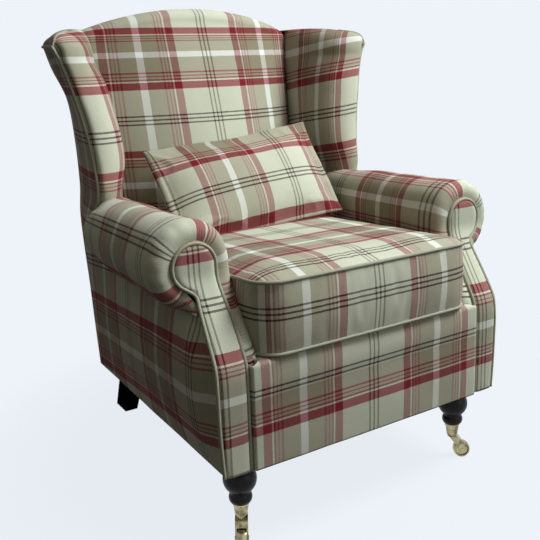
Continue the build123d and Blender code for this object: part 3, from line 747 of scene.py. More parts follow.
# (angle round the scroll, y, radius) where the padded arm ends under the wing
ROLL_END = Contour(
    (
        (-76.5, 300, 73), (-71.6, 400, 66.4), (-58.3, 490, 55.2), (-33.3, 541, 41.9),
        (11, 551, 36.7), (45, 533, 43.8), (66, 508, 60.4), (73, 512, 66), (82, 560, 67),
        (95, 640, 67), (180, 672, 67),
    )
)
UNDERSIDE = 178.0
SCROLL_X, SCROLL_Z, SCROLL_RADIUS = 337.0, 554.0, 41.0
TAN_RAKE = math.tan(math.radians(7.8))


def rear_y(z: float) -> float:
    """The outside back's plane at a height."""
    return 677.0 + (z - UNDERSIDE) * TAN_RAKE


def crease_y(z: float) -> float:
    """The crease between the inside back and a wing, at a height."""
    return rear_y(z) - 64.2


def arch_z(x: float) -> float:
    """The top of the arched back, at a place across it."""
    return 1054.0 - 68.0 * (x / 330.0) ** 2


def facing_sides(z: float) -> tuple[float, float]:
    """Inner and outer edge of an arm facing at a height."""
    reach = math.sqrt(max(SCROLL_RADIUS**2 - (z - SCROLL_Z) ** 2, 0.0))
    inner = SCROLL_X - (SCROLL_RADIUS + 6 * ease((530 - z) / 80) if z < SCROLL_Z else reach)
    if z > 514.8:
        return inner, SCROLL_X + reach
    if z > 499:
        return inner, mix(340, 350, (z - 499) / 15.8)
    share = (z - UNDERSIDE) / (499 - UNDERSIDE)
    return inner, 340 + 24 * share * (1 - share)


def outer_seam() -> list[Point]:
    """The outer seam of a right-hand side, from the wing's tip to the arm front."""
    heights = (956.5, 944, 930, 905, 880, 850, 820, 790, 760, 730, 700, 675, 650, 632, 615)
    upper = [(*WING_SEAM(z), z) for z in heights]
    lower = [
        (368, 533, 591), (373, 551, 567), (372, 541, 537), (366, 490, 511), (361, 445, 498),
        (358, 400, 490), (356, 350, 485), (356, 300, 481), (356, 200, 478), (356, 130, 477),
        (355, 100, 476), (353, 72, 474), (349, 60, 472),
    ]
    return upper + lower


# ------------------------------------------------------------------ scroll arms


@dataclass
class ScrollArm:
    """One padded arm: its roll and inner side, the scroll-shaped facing and the facing's piping."""

    side: Side
    shoulder: float = 27.0
    shoulder_share: float = 0.34
    end_round: float = 84.0
    overhang: float = 7.0
    pleat_depth: float = 2.2
    pleats: int = 8
    fullness: float = 80.0
    inner_wall: float = 71.5
    wall_foot: float = 366.0
    outer_end: float = -76.5

    # (angle round the scroll, place in the sett) on the roll, seat side up to the outer seam
    rows_left = Contour(((-80, -128), (-36, -88), (35, 0), (105, 88), (168, 169), (180, 184)))
    rows_right = Contour(((-80, -152), (-36, -90), (33, 0), (98, 88), (158, 169), (180, 199)))

    def angle_at(self, share: float) -> tuple[float, float]:
        """The angle round the scroll and its centre's height, from the seat to the outer seam."""
        wall = SCROLL_Z - self.wall_foot
        sweep = math.radians(180 - self.outer_end) * self.fullness
        reach = share * (wall + sweep)
        if reach < wall:
            return 180.0, self.wall_foot + reach
        return 180.0 - math.degrees((reach - wall) / self.fullness), SCROLL_Z

    def radius(self, angle: float, y: float) -> float:
        """The padding's radius at an angle and a distance back from the front."""
        full = mix(self.inner_wall, self.fullness, ease((176 - angle) / 60))
        full = mix(full, 68.0, ease((y - 350) / 170) * ease((130 - angle) / 60))
        front = ease((260 - y) / 220)
        return full + front * mix(11.0, 6.0, ease((176 - angle) / 60)) * ease((angle + 90) / 40)

    def front_seam(self, angle: float, centre: float) -> tuple[float, float]:
        """x and z where the cloth meets the facing."""
        grow = SCROLL_RADIUS + 3
        turn = math.radians(max(angle, -60.0))
        x, z = SCROLL_X + grow * math.cos(turn), centre + grow * math.sin(turn)
        if angle > 179.9:
            x = facing_sides(z)[0] - 3
        if angle < -60:
            down = (-60 - angle) / (-60 - self.outer_end)
            z = mix(z, 474.0, down)
            x = mix(x, facing_sides(474.0)[1] + 2.0, ease(down * 1.3))
        return x, z

    def roll_place(self, share: float, along: float) -> Vector:
        """Where the padded arm's cloth lies; along runs from the facing to the wing."""
        angle, base_z = self.angle_at(share)
        end_y, end_radius = ROLL_END(angle)
        turn = math.radians(angle)
        seam_x, seam_z = self.front_seam(angle, base_z)
        start_y = SWEEP(seam_z)[0] + 1.5
        flank = ease((angle - self.outer_end) / 30)
        if along < self.shoulder_share:
            step = along / self.shoulder_share
            y = start_y + self.shoulder * (1 - math.cos(step * math.pi / 2))
            y -= self.overhang * math.sin(step * math.pi) * flank
            around = self.radius(angle, y)
            x, z = SCROLL_X + around * math.cos(turn), base_z + around * math.sin(turn)
            swell = math.sin(step * math.pi / 2)
            fold = abs(math.sin(math.radians(angle) * self.pleats)) ** 0.7
            depth = self.pleat_depth * (1 - fold) * math.sin(step * math.pi)
            depth *= ease((150 - angle) / 40)
            x = mix(seam_x, x, swell) - depth * math.cos(turn)
            z = mix(seam_z, z, swell) - depth * math.sin(turn)
        else:
            beyond = (along - self.shoulder_share) / (1 - self.shoulder_share)
            y = mix(start_y + self.shoulder, end_y, beyond)
            u = max(0.0, (y - (end_y - self.end_round)) / self.end_round)
            around = self.radius(angle, y)
            around = end_radius + (around - end_radius) * math.sqrt(max(1 - u * u, 0.0))
            fold = abs(math.sin(math.radians(angle) * 9 + 0.6)) ** 0.8
            gather = ease((70 - angle) / 20) * ease((angle + 60) / 15)
            around -= 2.6 * (1 - fold) * ease(u * 1.4) * (1.2 - u) * gather
            x, z = SCROLL_X + around * math.cos(turn), base_z + around * math.sin(turn)
        lumps = 1.8 * noise.noise(Vector((share * 9, y / 70, 3.1)))
        lumps *= ease(along * 3) * ease((1 - along) * 6)
        return mirrored(self.side, at(x + lumps * math.cos(turn), y, z + lumps * math.sin(turn)))

    def roll(self, finishes: Finishes) -> None:
        """The padded arm."""
        sewing = Sewing()

        def lay(share: float, along: float) -> tuple[float, float]:
            angle, base_z = self.angle_at(share)
            y = depth_of(self.roll_place(share, along))
            left = self.side is Side.LEFT
            y = y if y > 150 else 150 - (150 - y) * 0.55
            row = (self.rows_left if left else self.rows_right)(angle)[0] + (SCROLL_Z - base_z)
            if left:
                across = (y - 150) * mix(1.22, 0.98, ease((angle - 15) / 60))
            else:
                across = (y - 138) * 1.05
            if along < self.shoulder_share:
                gather = math.copysign(1.0, 90 - angle) * ease(abs(90 - angle) / 40)
                row += 6 * (1 - along / self.shoulder_share) * gather
            return across / 1000, row / 1000

        sewing.panel(120, 110, self.roll_place, lay)
        piece = sewing.finish(f"arm_cover_{self.side.word}", finishes.wool, COVER_WALL)
        outward(piece, Vector((self.side.value * SCROLL_X / 1000, 0.0, SCROLL_Z / 1000)))
        declare(piece, "root", [f"arm_pad_{self.side.word}"])

    def facing_line(self, grow: float, lift: float) -> list[Point]:
        """The facing's outline, from its inner foot round the scroll to its outer foot.

        Args:
            grow: how far outside the outline.
            lift: how far in front of the sweep.

        Returns:
            Points in millimetres.
        """
        line = []
        for z in (178, 230, 280, 330, 380, 420, 460, 490, 510, 530):
            line.append((facing_sides(z)[0] - grow, SWEEP(z)[0] - lift, z))
        for angle in range(180, -70, -12):
            turn = math.radians(angle)
            x = SCROLL_X + (SCROLL_RADIUS + grow) * math.cos(turn)
            z = SCROLL_Z + (SCROLL_RADIUS + grow) * math.sin(turn)
            line.append((x, SWEEP(z)[0] - lift, z))
        for z in (508, 499, 485, 460, 430, 390, 350, 310, 260, 215, 178):
            x = facing_sides(z)[1] + grow * (0.6 if z > 500 else 1)
            line.append((x, SWEEP(z)[0] - lift, z))
        return line

    def facing(self, finishes: Finishes) -> None:
        """The scroll-shaped panel on the arm's front."""
        sewing = Sewing()

        def height(along: float) -> float:
            if along < 0.6:
                return mix(178.0, 500.0, along / 0.6)
            if along < 0.66:
                return mix(500.0, 514.8, (along - 0.6) / 0.06)
            start = math.asin((514.8 - SCROLL_Z) / SCROLL_RADIUS)
            turn = mix(start, math.pi / 2, (along - 0.66) / 0.34)
            return SCROLL_Z + SCROLL_RADIUS * math.sin(turn)

        def place(share: float, along: float) -> Vector:
            z = height(along)
            inner, outer = facing_sides(z)
            x = mix(inner - 0.5, outer + 0.5, share)
            edge = min(x - inner + 0.5, outer + 0.5 - x, SCROLL_Z + SCROLL_RADIUS - z + 0.5)
            puff = 5.5 * math.sqrt(max(0.0, 1 - (1 - min(max(edge, 0.0) / 16, 1)) ** 2))
            return mirrored(self.side, at(x, SWEEP(z)[0] - 2.2 - puff, z))

        def lay(share: float, along: float) -> tuple[float, float]:
            z = height(along)
            inner, outer = facing_sides(z)
            x = mix(inner, outer, share)
            if self.side is Side.LEFT:
                return (x - 340) / 1000, ((z - 571) * 1.04 + 88) / 1000
            return (x - 306) / 1000, (z - 500) / 1000

        sewing.panel(18, 90, place, lay)
        piece = sewing.finish(f"arm_facing_{self.side.word}", finishes.wool, THIN_WALL)
        facing_forward(piece)
        declare(piece, "root", [f"facing_panel_{self.side.word}"])

    def piping(self, finishes: Finishes) -> None:
        """The piping round the facing."""
        sewing = Sewing()
        line = [(x * self.side.value, y, z) for x, y, z in self.facing_line(2.6, 2.4)]
        sewing.tube(paced(rounded_through(line, step=6), 240), PIPING_RADIUS, closed=False)
        piece = sewing.finish(f"facing_piping_round_{self.side.word}", finishes.piping)
        declare(piece, "root", [f"facing_piping_{self.side.word}"])

    def build(self, finishes: Finishes) -> None:
        """Makes every piece of the arm."""
        self.roll(finishes)
        self.facing(finishes)
        self.piping(finishes)


def outward(piece: bpy.types.Object, centre: Vector) -> None:
    """Turns an open piece's faces away from a line that runs along y through a centre."""

    def score(face: bpy.types.MeshPolygon) -> float:
        away = face.center - centre
        return face.normal.x * away.x + face.normal.z * away.z

    turn_if(piece, score)


def facing_forward(piece: bpy.types.Object) -> None:
    """Turns an open piece's faces to the front."""
    turn_if(piece, lambda face: -face.normal.y)


def turn_if(piece: bpy.types.Object, score: Callable[[bpy.types.MeshPolygon], float]) -> None:
    """Flips a piece's faces where on the whole they score below nought.

    Args:
        piece: an open piece whose faces all agree with each other.
        score: above nought for a face that looks the right way.
    """
    if sum(score(face) * face.area for face in piece.data.polygons) < 0:
        piece.data.flip_normals()


# ------------------------------------------------------------------ wings and outer covers


@dataclass
class WingSide:
    """One wing: its padded inner face, front roll, top cap, outer cover and piping."""

    side: Side
    foot_z: float = 585.0
    round_z: float = 930.0
    top_share: float = 0.84
    hem_share: float = 0.985
    roll: float = 25.0
    cap_shift: tuple[float, float] = (0.13, 0.14)

    # (height, place in the sett) on each wing
    left_rows = Contour(
        (
            (560, -210), (585, -182), (675, -88), (759, 0), (863, 88), (928, 169), (985, 250),
            (1010, 285),
        )
    )
    right_rows = Contour(
        ((585, -185), (687.6, -88), (777, 0), (870, 88), (955, 169), (1010, 235))
    )

    @staticmethod
    def red_line(y: float) -> float:
        """Height of the outside's red band, which climbs towards the front."""
        return 418 - 0.09 * (max(y, 0) - 34)

    # (height, x of the crease)
    crease = Contour(((560, 270), (650, 272), (760, 275), (880, 280.3), (965, 288), (1010, 292)))
    # (height, x and y where the inner face turns into the front roll)
    turn = Contour(
        (
            (585, 297, 530), (650, 292, 532), (700, 283, 530), (760, 284, 538), (820, 293, 550),
            (880, 305, 560), (930, 327, 570),
        )
    )
    # (share of the way from the crease to the outer seam, x, y, z) of the wing's top edge
    top_edge = Contour(
        (
            (0.0, 290, 722, 1000), (0.15, 303, 700, 1001), (0.35, 325, 655, 1000),
            (0.5, 348, 618, 997), (0.65, 372, 588, 992), (0.78, 393, 564, 987),
            (0.88, 407, 548, 981), (0.95, 416, 541, 971), (1.0, 421.5, 540.5, 956.5),
        )
    )

    # (share of the way down, x, y and z on the front seam, height on the back's edge)
    fan = Contour(
        (
            (0.0, 421.5, 540.5, 956.5, 966), (0.04, 409, 538, 930, 942),
            (0.13, 394, 531, 880, 893), (0.23, 380, 520, 820, 836), (0.32, 369, 513, 760, 777),
            (0.40, 363, 506, 700, 712), (0.46, 361, 500, 650, 660), (0.50, 362, 508, 615, 627),
            (0.53, 368, 533, 591, 604), (0.555, 373, 551, 567, 585), (0.58, 372, 541, 537, 567),
            (0.605, 366, 490, 511, 548), (0.63, 358, 400, 490, 532), (0.65, 356, 300, 481, 518),
            (0.67, 356, 200, 478, 502), (0.69, 355.5, 100, 477, 484), (0.70, 353, 72, 476, 476),
            (0.71, 346, 58, 474, 468), (0.76, 346, 34, 438, 430), (0.82, 346, 2.5, 379, 375),
            (0.90, 345, 0, 285, 283), (1.0, 340, 0, 178, 178),
        )
    )

    def section(self, z: float) -> list[Vector]:
        """The inner face's section at a height, from the crease to the outer seam."""
        x_c, y_c = self.crease(z)[0], crease_y(z)
        x_t, y_t = self.turn(z)
        x_s, y_s = WING_SEAM(z)
        points = [
            (x_c + 3, y_c + 12, z),
            (x_c - 3, y_c - 6, z),
            (mix(x_c, x_t, 0.4) - 8, mix(y_c, y_t, 0.4), z),
            (mix(x_c, x_t, 0.78) - 5, mix(y_c, y_t, 0.78), z),
            (x_t, y_t, z),
            (mix(x_t, x_s, 0.18), mix(y_t, y_s, 0.18) - 0.68 * self.roll, z),
            (mix(x_t, x_s, 0.5), mix(y_t, y_s, 0.5) - self.roll, z),
            (mix(x_t, x_s, 0.86), mix(y_t, y_s, 0.86) - 0.72 * self.roll, z),
            (x_s, y_s, z),
        ]
        return rounded_through(points, step=6)

    def inner_place(self, share: float, up: float) -> Vector:
        """Where the inner face's cloth lies; it rounds over at its top edge."""
        low = min(up / self.top_share, 1.0)
        z = mix(self.foot_z, self.round_z, low)
        place = paced(self.section(z), 60)[round(share * 60)].copy()
        lumps = noise.noise(Vector((share * 4, z / 90, 7.7 * self.side.value)))
        place.x += 0.0014 * lumps
        if up > self.top_share:
            turn = (up - self.top_share) / (1 - self.top_share) * math.pi / 2
            edge = at(*self.top_edge(share))
            level = place.z
            place = place.lerp(edge, 1 - math.cos(turn))
            place.z = mix(level, edge.z, math.sin(turn))
        return mirrored(self.side, place)

    def inner(self, finishes: Finishes) -> None:
        """The padded inner face, round the front roll to the outer seam."""
        sewing = Sewing()
        lengths: dict[int, float] = {}

        def lay(share: float, up: float) -> tuple[float, float]:
            z = mix(self.foot_z, self.round_z, min(up / self.top_share, 1.0))
            key = round(z)
            if key not in lengths:
                lengths[key] = reaches(self.section(z))[-1] * 1000
            over = max(0.0, up - self.top_share) / (1 - self.top_share)
            v = z + over * (self.top_edge(share)[2] - self.round_z) * 1.25
            return self.inner_sett(share * lengths[key], v)

        sewing.panel(60, 96, self.inner_place, lay)
        piece = sewing.finish(f"wing_face_{self.side.word}", finishes.wool, COVER_WALL)
        turn_if(piece, lambda face: -face.normal.x * self.side.value - face.normal.y)
        declare(piece, "root", [])

    def inner_sett(self, reach: float, height: float) -> tuple[float, float]:
        """Where a place on the inner face lies in the sett.

        Args:
            reach: along the cloth from the crease, in millimetres.
            height: in millimetres.

        Returns:
            The cloth map's two numbers, in metres.
        """
        if self.side is Side.LEFT:
            return ((reach - 196) * 1.1 - 88) / 1000, self.left_rows(height)[0] / 1000
        across = 169 + (reach - 140) * 1.25
        climb = 0.143 * (reach - 185)
        return across / 1000, self.right_rows(height - climb)[0] / 1000

    def outer_line(self, share: float) -> tuple[Vector, Vector]:
        """The outer cover's front and rear place.

        Args:
            share: from 0 at the wing's top to 1 at the underside.

        Returns:
            The place on the outer seam or the facing's edge, and the place on the back's edge.
        """
        x, y, z, rear_z = self.fan(share)
        return at(x, y, z), at(REAR_EDGE(rear_z)[0], rear_y(rear_z), rear_z)

    def outer_place(self, back: float, down: float) -> Vector:
        """Where the outer cover lies; back runs from the front seam to the outside back."""
        front, rear = self.outer_line(min(down / self.hem_share, 1.0))
        place = front.lerp(rear, back)
        y, z = depth_of(place), place.z * 1000
        if z < 500:
            tall = max(0.0, math.sin(math.pi * (z - UNDERSIDE) / (495 - UNDERSIDE)))
            front_y = SWEEP(z)[0]
            ahead = ease((y - front_y) / 55) * min(1.0, max(0.0, (705 - y) / 620))
            place.x += 0.027 * tall**0.8 * ahead
        else:
            place.x += 0.006 * math.sin(math.pi * back) * ease((z - 500) / 60)
        ripple = noise.noise(Vector((y / 130, z / 60, 2.0 + self.side.value)))
        place.x += 0.0018 * ripple * math.sin(math.pi * back)
        if down > self.hem_share:
            under = (down - self.hem_share) / (1 - self.hem_share)
            place.x -= 0.016 * under
            place.z += 0.0005 * under
        return mirrored(self.side, place)

    def outer(self, finishes: Finishes) -> None:
        """The outer cover of the wing and the arm in one cloth."""
        sewing = Sewing()

        def lay(back: float, down: float) -> tuple[float, float]:
            place = self.outer_place(back, down)
            y, z = depth_of(place), place.z * 1000
            curl = 26 * math.exp(-max(y - SWEEP(z)[0], 0) / 90) * ease((480 - z) / 200)
            row = (z - self.red_line(y) + 0.4 * curl) * 0.96 - 88
            if z > 560:
                row = mix(row, self.left_rows(z)[0], ease((z - 560) / 60))
            return (y - 65) / 1000, row / 1000

        sewing.panel(84, 200, self.outer_place, lay)
        piece = sewing.finish(f"outside_cover_{self.side.word}", finishes.wool, COVER_WALL)
        turn_if(piece, lambda face: face.normal.x * self.side.value)
        nodes = [f"outside_arm_{self.side.word}", f"wing_{self.side.word}"]
        declare(piece, "root", nodes)

    def cap(self, finishes: Finishes) -> None:
        """The boxed top of the wing, rounding over to the piped outer seam."""
        edge = [at(293, rear_y(1000), 1001)]
        edge += [at(*self.top_edge(share / 40)) for share in range(41)]
        inner = paced(edge, 60)
        outer = paced(self.outer_line(0.0)[::-1], 60)
        sewing = Sewing()

        def place(share: float, along: float) -> Vector:
            spot = round(along * 60)
            turn = share * math.pi / 2
            found = inner[spot].lerp(outer[spot], math.sin(turn))
            found.z = mix(inner[spot].z, outer[spot].z, 1 - math.cos(turn))
            found.z += 0.004 * math.sin(math.pi * share) * math.sin(math.pi * along)
            return mirrored(self.side, found)

        def lay(share: float, along: float) -> tuple[float, float]:
            found = place(share, along)
            return self.cap_shift[0] + abs(found.x) - 0.3, self.cap_shift[1] + share * 0.09

        sewing.panel(16, 60, place, lay)
        piece = sewing.finish(f"wing_top_{self.side.word}", finishes.wool, COVER_WALL)
        turn_if(piece, lambda face: face.normal.z)
        declare(piece, "root", [])

    def piping(self, finishes: Finishes) -> None:
        """The piping along the outer seam, from the back round the wing's tip to the arm front."""
        hand = self.side.value
        rear = (372.0, rear_y(966), 966.0)
        line = [rear, (398, 655, 962), (415, 570, 960)] + outer_seam()
        seam = rounded_through([(x * hand, y, z) for x, y, z in line], step=6)
        sewing = Sewing()
        sewing.tube(paced(seam, 320), PIPING_RADIUS, closed=False)
        piece = sewing.finish(f"outer_seam_piping_{self.side.word}", finishes.piping)
        declare(piece, "root", [])
        welt = [mirrored(self.side, at(*self.top_edge(share / 40))) for share in range(26, 41)]
        sewing = Sewing()
        sewing.tube(paced(welt, 40), 0.0026, closed=False, start=0.02)
        piece = sewing.finish(f"wing_tip_welt_{self.side.word}", finishes.piping)
        declare(piece, "root", [])

    def build(self, finishes: Finishes) -> None:
        """Makes every piece of the wing."""
        self.inner(finishes)
        self.outer(finishes)
        self.cap(finishes)
        self.piping(finishes)


# ------------------------------------------------------------------ the back


@dataclass
class PaddedBack:
    """The arched inside back and the plain outside back."""

    face_share: float = 0.74
    brow_share: float = 0.86
    flat_share: float = 0.93
    arch_half: float = 306.0
    front_round: float = 30.0
    rear_round: float = 24.0
    dark_x: float = 8.0
    stretch: float = 1.05

    # (height, place in the sett) of the inside back's bands
    rows = Contour(
        (
            (380, -436), (620, -176), (782, 0), (863, 87), (940, 169), (995, 248), (1150, 410),
        )
    )
    # (height, half width, y of the crown)
    crown = Contour(
        (
            (388, 269.7, 545), (560, 269.7, 562), (740, 274, 606), (900, 281, 650),
            (1000, 291, 683), (1080, 300, 707),
        )
    )

    def face_y(self, x: float, z: float) -> float:
        """The padded face at a place across and a height."""
        half, crown_y = self.crown(z)
        edge = crease_y(z)
        part = min(abs(x) / half, 1.06)
        tuck = 16 * max(0.0, (part - 0.93) / 0.13) ** 2
        return edge - (edge - crown_y) * (1 - min(part, 1.0) ** 2.3) + tuck

    def inner_place(self, share: float, up: float) -> Vector:
        """Where the inside back's cloth lies, over the top to the outside back."""
        part = 2 * share - 1
        top = arch_z(part * self.arch_half)
        if up < self.face_share:
            z = mix(388.0, top - self.front_round, up / self.face_share)
            x = part * (self.crown(z)[0] + 10)
            y = self.face_y(x, z)
            lumps = noise.noise(Vector((x / 110, z / 120, 4.4)))
            return at(x, y + 2.0 * lumps, z)
        x = part * (self.crown(top)[0] + 10)
        front = self.face_y(x, top - self.front_round)
        rear = rear_y(top) - 1
        rear_round = self.rear_round_at(x)
        if up < self.brow_share:
            angle = (up - self.face_share) / (self.brow_share - self.face_share) * math.pi / 2
            y = front + (self.front_round + 6) * (1 - math.cos(angle))
            return at(x, y, top - self.front_round * (1 - math.sin(angle)))
        if up < self.flat_share:
            level = (up - self.brow_share) / (self.flat_share - self.brow_share)
            return at(x, mix(front + self.front_round + 6, rear - rear_round, level), top)
        angle = (up - self.flat_share) / (1 - self.flat_share) * math.pi / 2
        y = rear - rear_round * (1 - math.sin(angle))
        return at(x, y, top - rear_round * (1 - math.cos(angle)))

    def rear_round_at(self, x: float) -> float:
        """Radius of the top's rear edge, which dies out towards the wings."""
        return mix(self.rear_round, 3.0, ease((abs(x) - 230) / 60))

    def inner(self, finishes: Finishes) -> None:
        """The padded inside back."""
        sewing = Sewing()

        def lay(share: float, up: float) -> tuple[float, float]:
            place = self.inner_place(share, up)
            top = arch_z((2 * share - 1) * self.arch_half)
            if up < self.face_share:
                v = place.z * 1000
            elif up < self.brow_share:
                bend = (up - self.face_share) / (self.brow_share - self.face_share)
                v = top - self.front_round + self.front_round * bend * 1.57
            else:
                beyond = (up - self.brow_share) / (1 - self.brow_share)
                v = top + self.front_round * 0.57 + beyond * 95
            return (place.x * 1000 - self.dark_x) / self.stretch / 1000, self.rows(v)[0] / 1000

        sewing.panel(110, 150, self.inner_place, lay)
        piece = sewing.finish("inside_back_cover", finishes.wool, COVER_WALL)
        facing_forward(piece)
        declare(piece, "root", ["inside_back"])

    def outer(self, finishes: Finishes) -> None:
        """The outside back panel."""
        sewing = Sewing()

        def place(share: float, up: float) -> Vector:
            part = 2 * share - 1
            nominal = mix(UNDERSIDE, 966.0, up)
            x = part * REAR_EDGE(nominal)[0]
            out = min(max((abs(x) - 293) / 79, 0.0), 1.0)
            peak = 966 + 35 * math.sqrt(1 - out * out)
            if abs(x) < 293:
                peak = arch_z(x) - self.rear_round_at(x)
            z = mix(UNDERSIDE, peak, up)
            puff = 4.5 * (1 - part**4) * math.sin(math.pi * min(max(up, 0.02), 0.98)) ** 0.5
            return at(x, rear_y(z) + puff, z)

        def lay(share: float, up: float) -> tuple[float, float]:
            found = place(share, up)
            return (0.02 - found.x, found.z + 0.02)

        sewing.panel(100, 110, place, lay)
        piece = sewing.finish("outside_back_cover", finishes.wool, COVER_WALL)
        turn_if(piece, lambda face: face.normal.y)
        declare(piece, "root", ["outside_back"])

    def build(self, finishes: Finishes) -> None:
        """Makes both sides of the back."""
        self.inner(finishes)
        self.outer(finishes)


# ------------------------------------------------------------------ the front and the cushions


@dataclass
class FrontBorder:
    """The padded panel under the seat cushion."""

    half: float = 284.5
    foot: float = 178.0
    top: float = 388.0
    depth: float = 12.0
    seam: float = 316.0
    dark_x: float = -6.0
    lower_shift: float = -166.0
    lip_shift: float = -322.0

    def build(self, finishes: Finishes) -> None:
        """Makes the border: a lower cloth and a narrower lip over it, seamed together."""
        sewing = Sewing()
        for low, high, cells, shift in (
            (self.foot, self.seam, 40, self.lower_shift),
            (self.seam, self.top, 20, self.lip_shift),
        ):

            def place(share: float, up: float, low: float = low, high: float = high) -> Vector:
                x = (2 * share - 1) * self.half
                z = mix(low, high, up)
                z -= 6 * ease((abs(x) - 262) / 20) * ease((z - 350) / 38)
                edge = min((self.half - abs(x)) * 2.5, self.top - z)
                near = min(max(edge, 0.0) / 9, 1.0)
                y = -self.depth * math.sqrt(max(0.0, 1 - (1 - near) ** 2))
                swell = math.sin(math.pi * up) * (1 - (x / self.half) ** 6)
                y -= (2.0 if low == self.foot else 3.5) * swell
                y += 1.0 * noise.noise(Vector((x / 80, z / 60, 1.2)))
                return at(x, y, z)

            def lay(
                share: float, up: float, low: float = low, high: float = high, shift: float = shift
            ) -> tuple[float, float]:
                x = (2 * share - 1) * self.half
                return (x - self.dark_x) / 1000, (mix(low, high, up) + shift) / 1000

            sewing.panel(150, cells, place, lay)
        piece = sewing.finish("front_border_cover", finishes.wool, THIN_WALL)
        facing_forward(piece)
        declare(piece, "root", ["front_border"])


@dataclass
class SeatCushion:
    """The loose seat cushion: boxed and piped round its top and its bottom."""

    half: float = 266.0
    waist: float = 8.0
    front: float = -16.0
    back: float = 544.2
    foot: float = 388.8
    height: float = 139.5
    rake: float = 3.0
    corner: float = 48.0
    back_corner: float = 16.0
    bow: float = 2.0
    crown: float = 18.0
    dark_x: float = -2.0
    dark_up: float = 80.0
    cells: int = 72

    # (distance back from the front plane, place in the sett) on the top
    rows = Contour(
        ((-20, -42), (32, 6), (91, 88), (164, 169), (230, 250), (318, 338), (560, 580))
    )
    dome = Contour(((0, 0), (12, 0.38), (30, 0.66), (62, 0.88), (120, 1.0)))

    @property
    def middle(self) -> float:
        """Half way from the front to the back."""
        return (self.back + self.front) / 2

    def rim(self, a: float, b: float) -> tuple[float, float]:
        """The outline where a ray through (a, b) of a square meets it.

        Args:
            a: across, -1 to 1.
            b: back, -1 to 1.

        Returns:
            x and y in millimetres.
        """
        wide, deep = self.half, (self.back - self.front) / 2
        x, y = a * wide, b * deep
        round_off = self.corner if b < 0 else self.back_corner
        cx, cy = wide - round_off, deep - round_off
        if abs(x) > cx and abs(y) > cy:
            ox, oy = abs(x) - cx, abs(y) - cy
            length = math.hypot(ox, oy)
            x = math.copysign(cx + ox / length * round_off, x)
            y = math.copysign(cy + oy / length * round_off, y)
        if b <= -0.99:
            y -= self.bow * (1 - a * a)
        y += self.middle
        narrow = self.waist * ease((170 - y) / 120) * min(abs(a), 1.0)
        return x - math.copysign(narrow, x), y

    def level(self, y: float, share: float) -> float:
        """Height of the border at a share of it, falling to the back at the top."""
        fall = (y - self.front) * math.tan(math.radians(self.rake)) * share
        return self.foot + self.height * share - fall

    def spread(self, share: float, up: float) -> tuple[float, float, float]:
        """Place on a face of the cushion, seen from above.

        Args:
            share: across the face.
            up: back over the face.

        Returns:
            x, y and the distance from the edge, in millimetres.
        """
        a, b = 2 * share - 1, 2 * up - 1
        reach = max(abs(a), abs(b), 1e-6)
        rim_x, rim_y = self.rim(a / reach, b / reach)
        x, y = rim_x * reach, (rim_y - self.middle) * reach + self.middle
        edge = (1 - reach) * min(self.half, (self.back - self.front) / 2)
        return x, y, edge

    def rim_run(self, share: float, count: int) -> list[Vector]:
        """The seam's run round the cushion at a share of its height."""
        run = []
        for spot in range(count):
            turn = spot / count * 4
            leg, part = int(turn), (turn % 1) * 2 - 1
            a, b = ((part, -1), (1, part), (-part, 1), (-1, -part))[leg]
            x, y = self.rim(a, b)
            run.append(at(x, y, self.level(y, share)))
        return run

    def build(self, finishes: Finishes) -> None:
        """Makes the cushion and its two runs of piping."""
        around = 4 * self.cells
        sewing = Sewing()

        def top(share: float, up: float) -> Vector:
            x, y, edge = self.spread(share, up)
            lift = self.crown * self.dome(edge)[0]
            lift += 1.8 * noise.noise(Vector((x / 90, y / 90, 9.0))) * min(edge / 50, 1)
            return at(x, y, self.level(y, 1.0) + lift)

        def base(share: float, up: float) -> Vector:
            x, y, _ = self.spread(share, up)
            return at(x, y, self.foot)

        def flat(share: float, up: float) -> tuple[float, float]:
            x, y, _ = self.spread(share, up)
            return (x - self.dark_x) / 1000, self.rows(y)[0] / 1000

        sewing.panel(self.cells, self.cells, top, flat)
        sewing.panel(self.cells, self.cells, base, flat, flip=True)
        low, high = self.rim_run(0.0, around), self.rim_run(1.0, around)
        travel = reaches(low + low[:1])
        middle = (self.middle + FRONT_PLANE) / 1000

        def border(share: float, up: float) -> Vector:
            spot = round(share * around) % around
            found = low[spot].lerp(high[spot], up)
            out = Vector((low[spot].x, low[spot].y - middle, 0)).normalized()
            lumps = noise.noise(Vector((found.x * 14, found.y * 14, up * 3)))
            swell = 0.0035 * math.sin(math.pi * up) ** 0.8
            swell += 0.0016 * lumps * math.sin(math.pi * up)
            return found + out * swell

        def round_it(share: float, up: float) -> tuple[float, float]:
            spot = round(share * around)
            across = travel[spot] - (self.half + self.dark_x - 14) / 1000
            return across, (up * self.height - self.dark_up) / 1000

        sewing.panel(around, 20, border, round_it)
        piece = sewing.finish("seat_cushion_cover", finishes.wool)
        foot = (self.foot + 1) / 1000

        def rounded(place: Vector) -> tuple[float, ...]:
            return tuple(round(c, 4) for c in place)

        seams = {rounded(place) for place in high}
        plump(piece, lambda place: place.z < foot or rounded(place) in seams, 0.005, 0.005)
        declare(piece, "seat_cushion_body", ["seat_cushion"])
        for name, share in (("bottom", 0.0), ("top", 1.0)):
            sewing = Sewing()
            run = self.rim_run(share, 480)
            if share == 0.0:
                run = [place + Vector((0, 0, 0.0035)) for place in run]
            sewing.tube(paced(run, 420, closed=True), 0.0037, closed=True)
            piece = sewing.finish(f"seat_cushion_piping_{name}", finishes.piping)
            declare(piece, "seat_cushion_body", [])


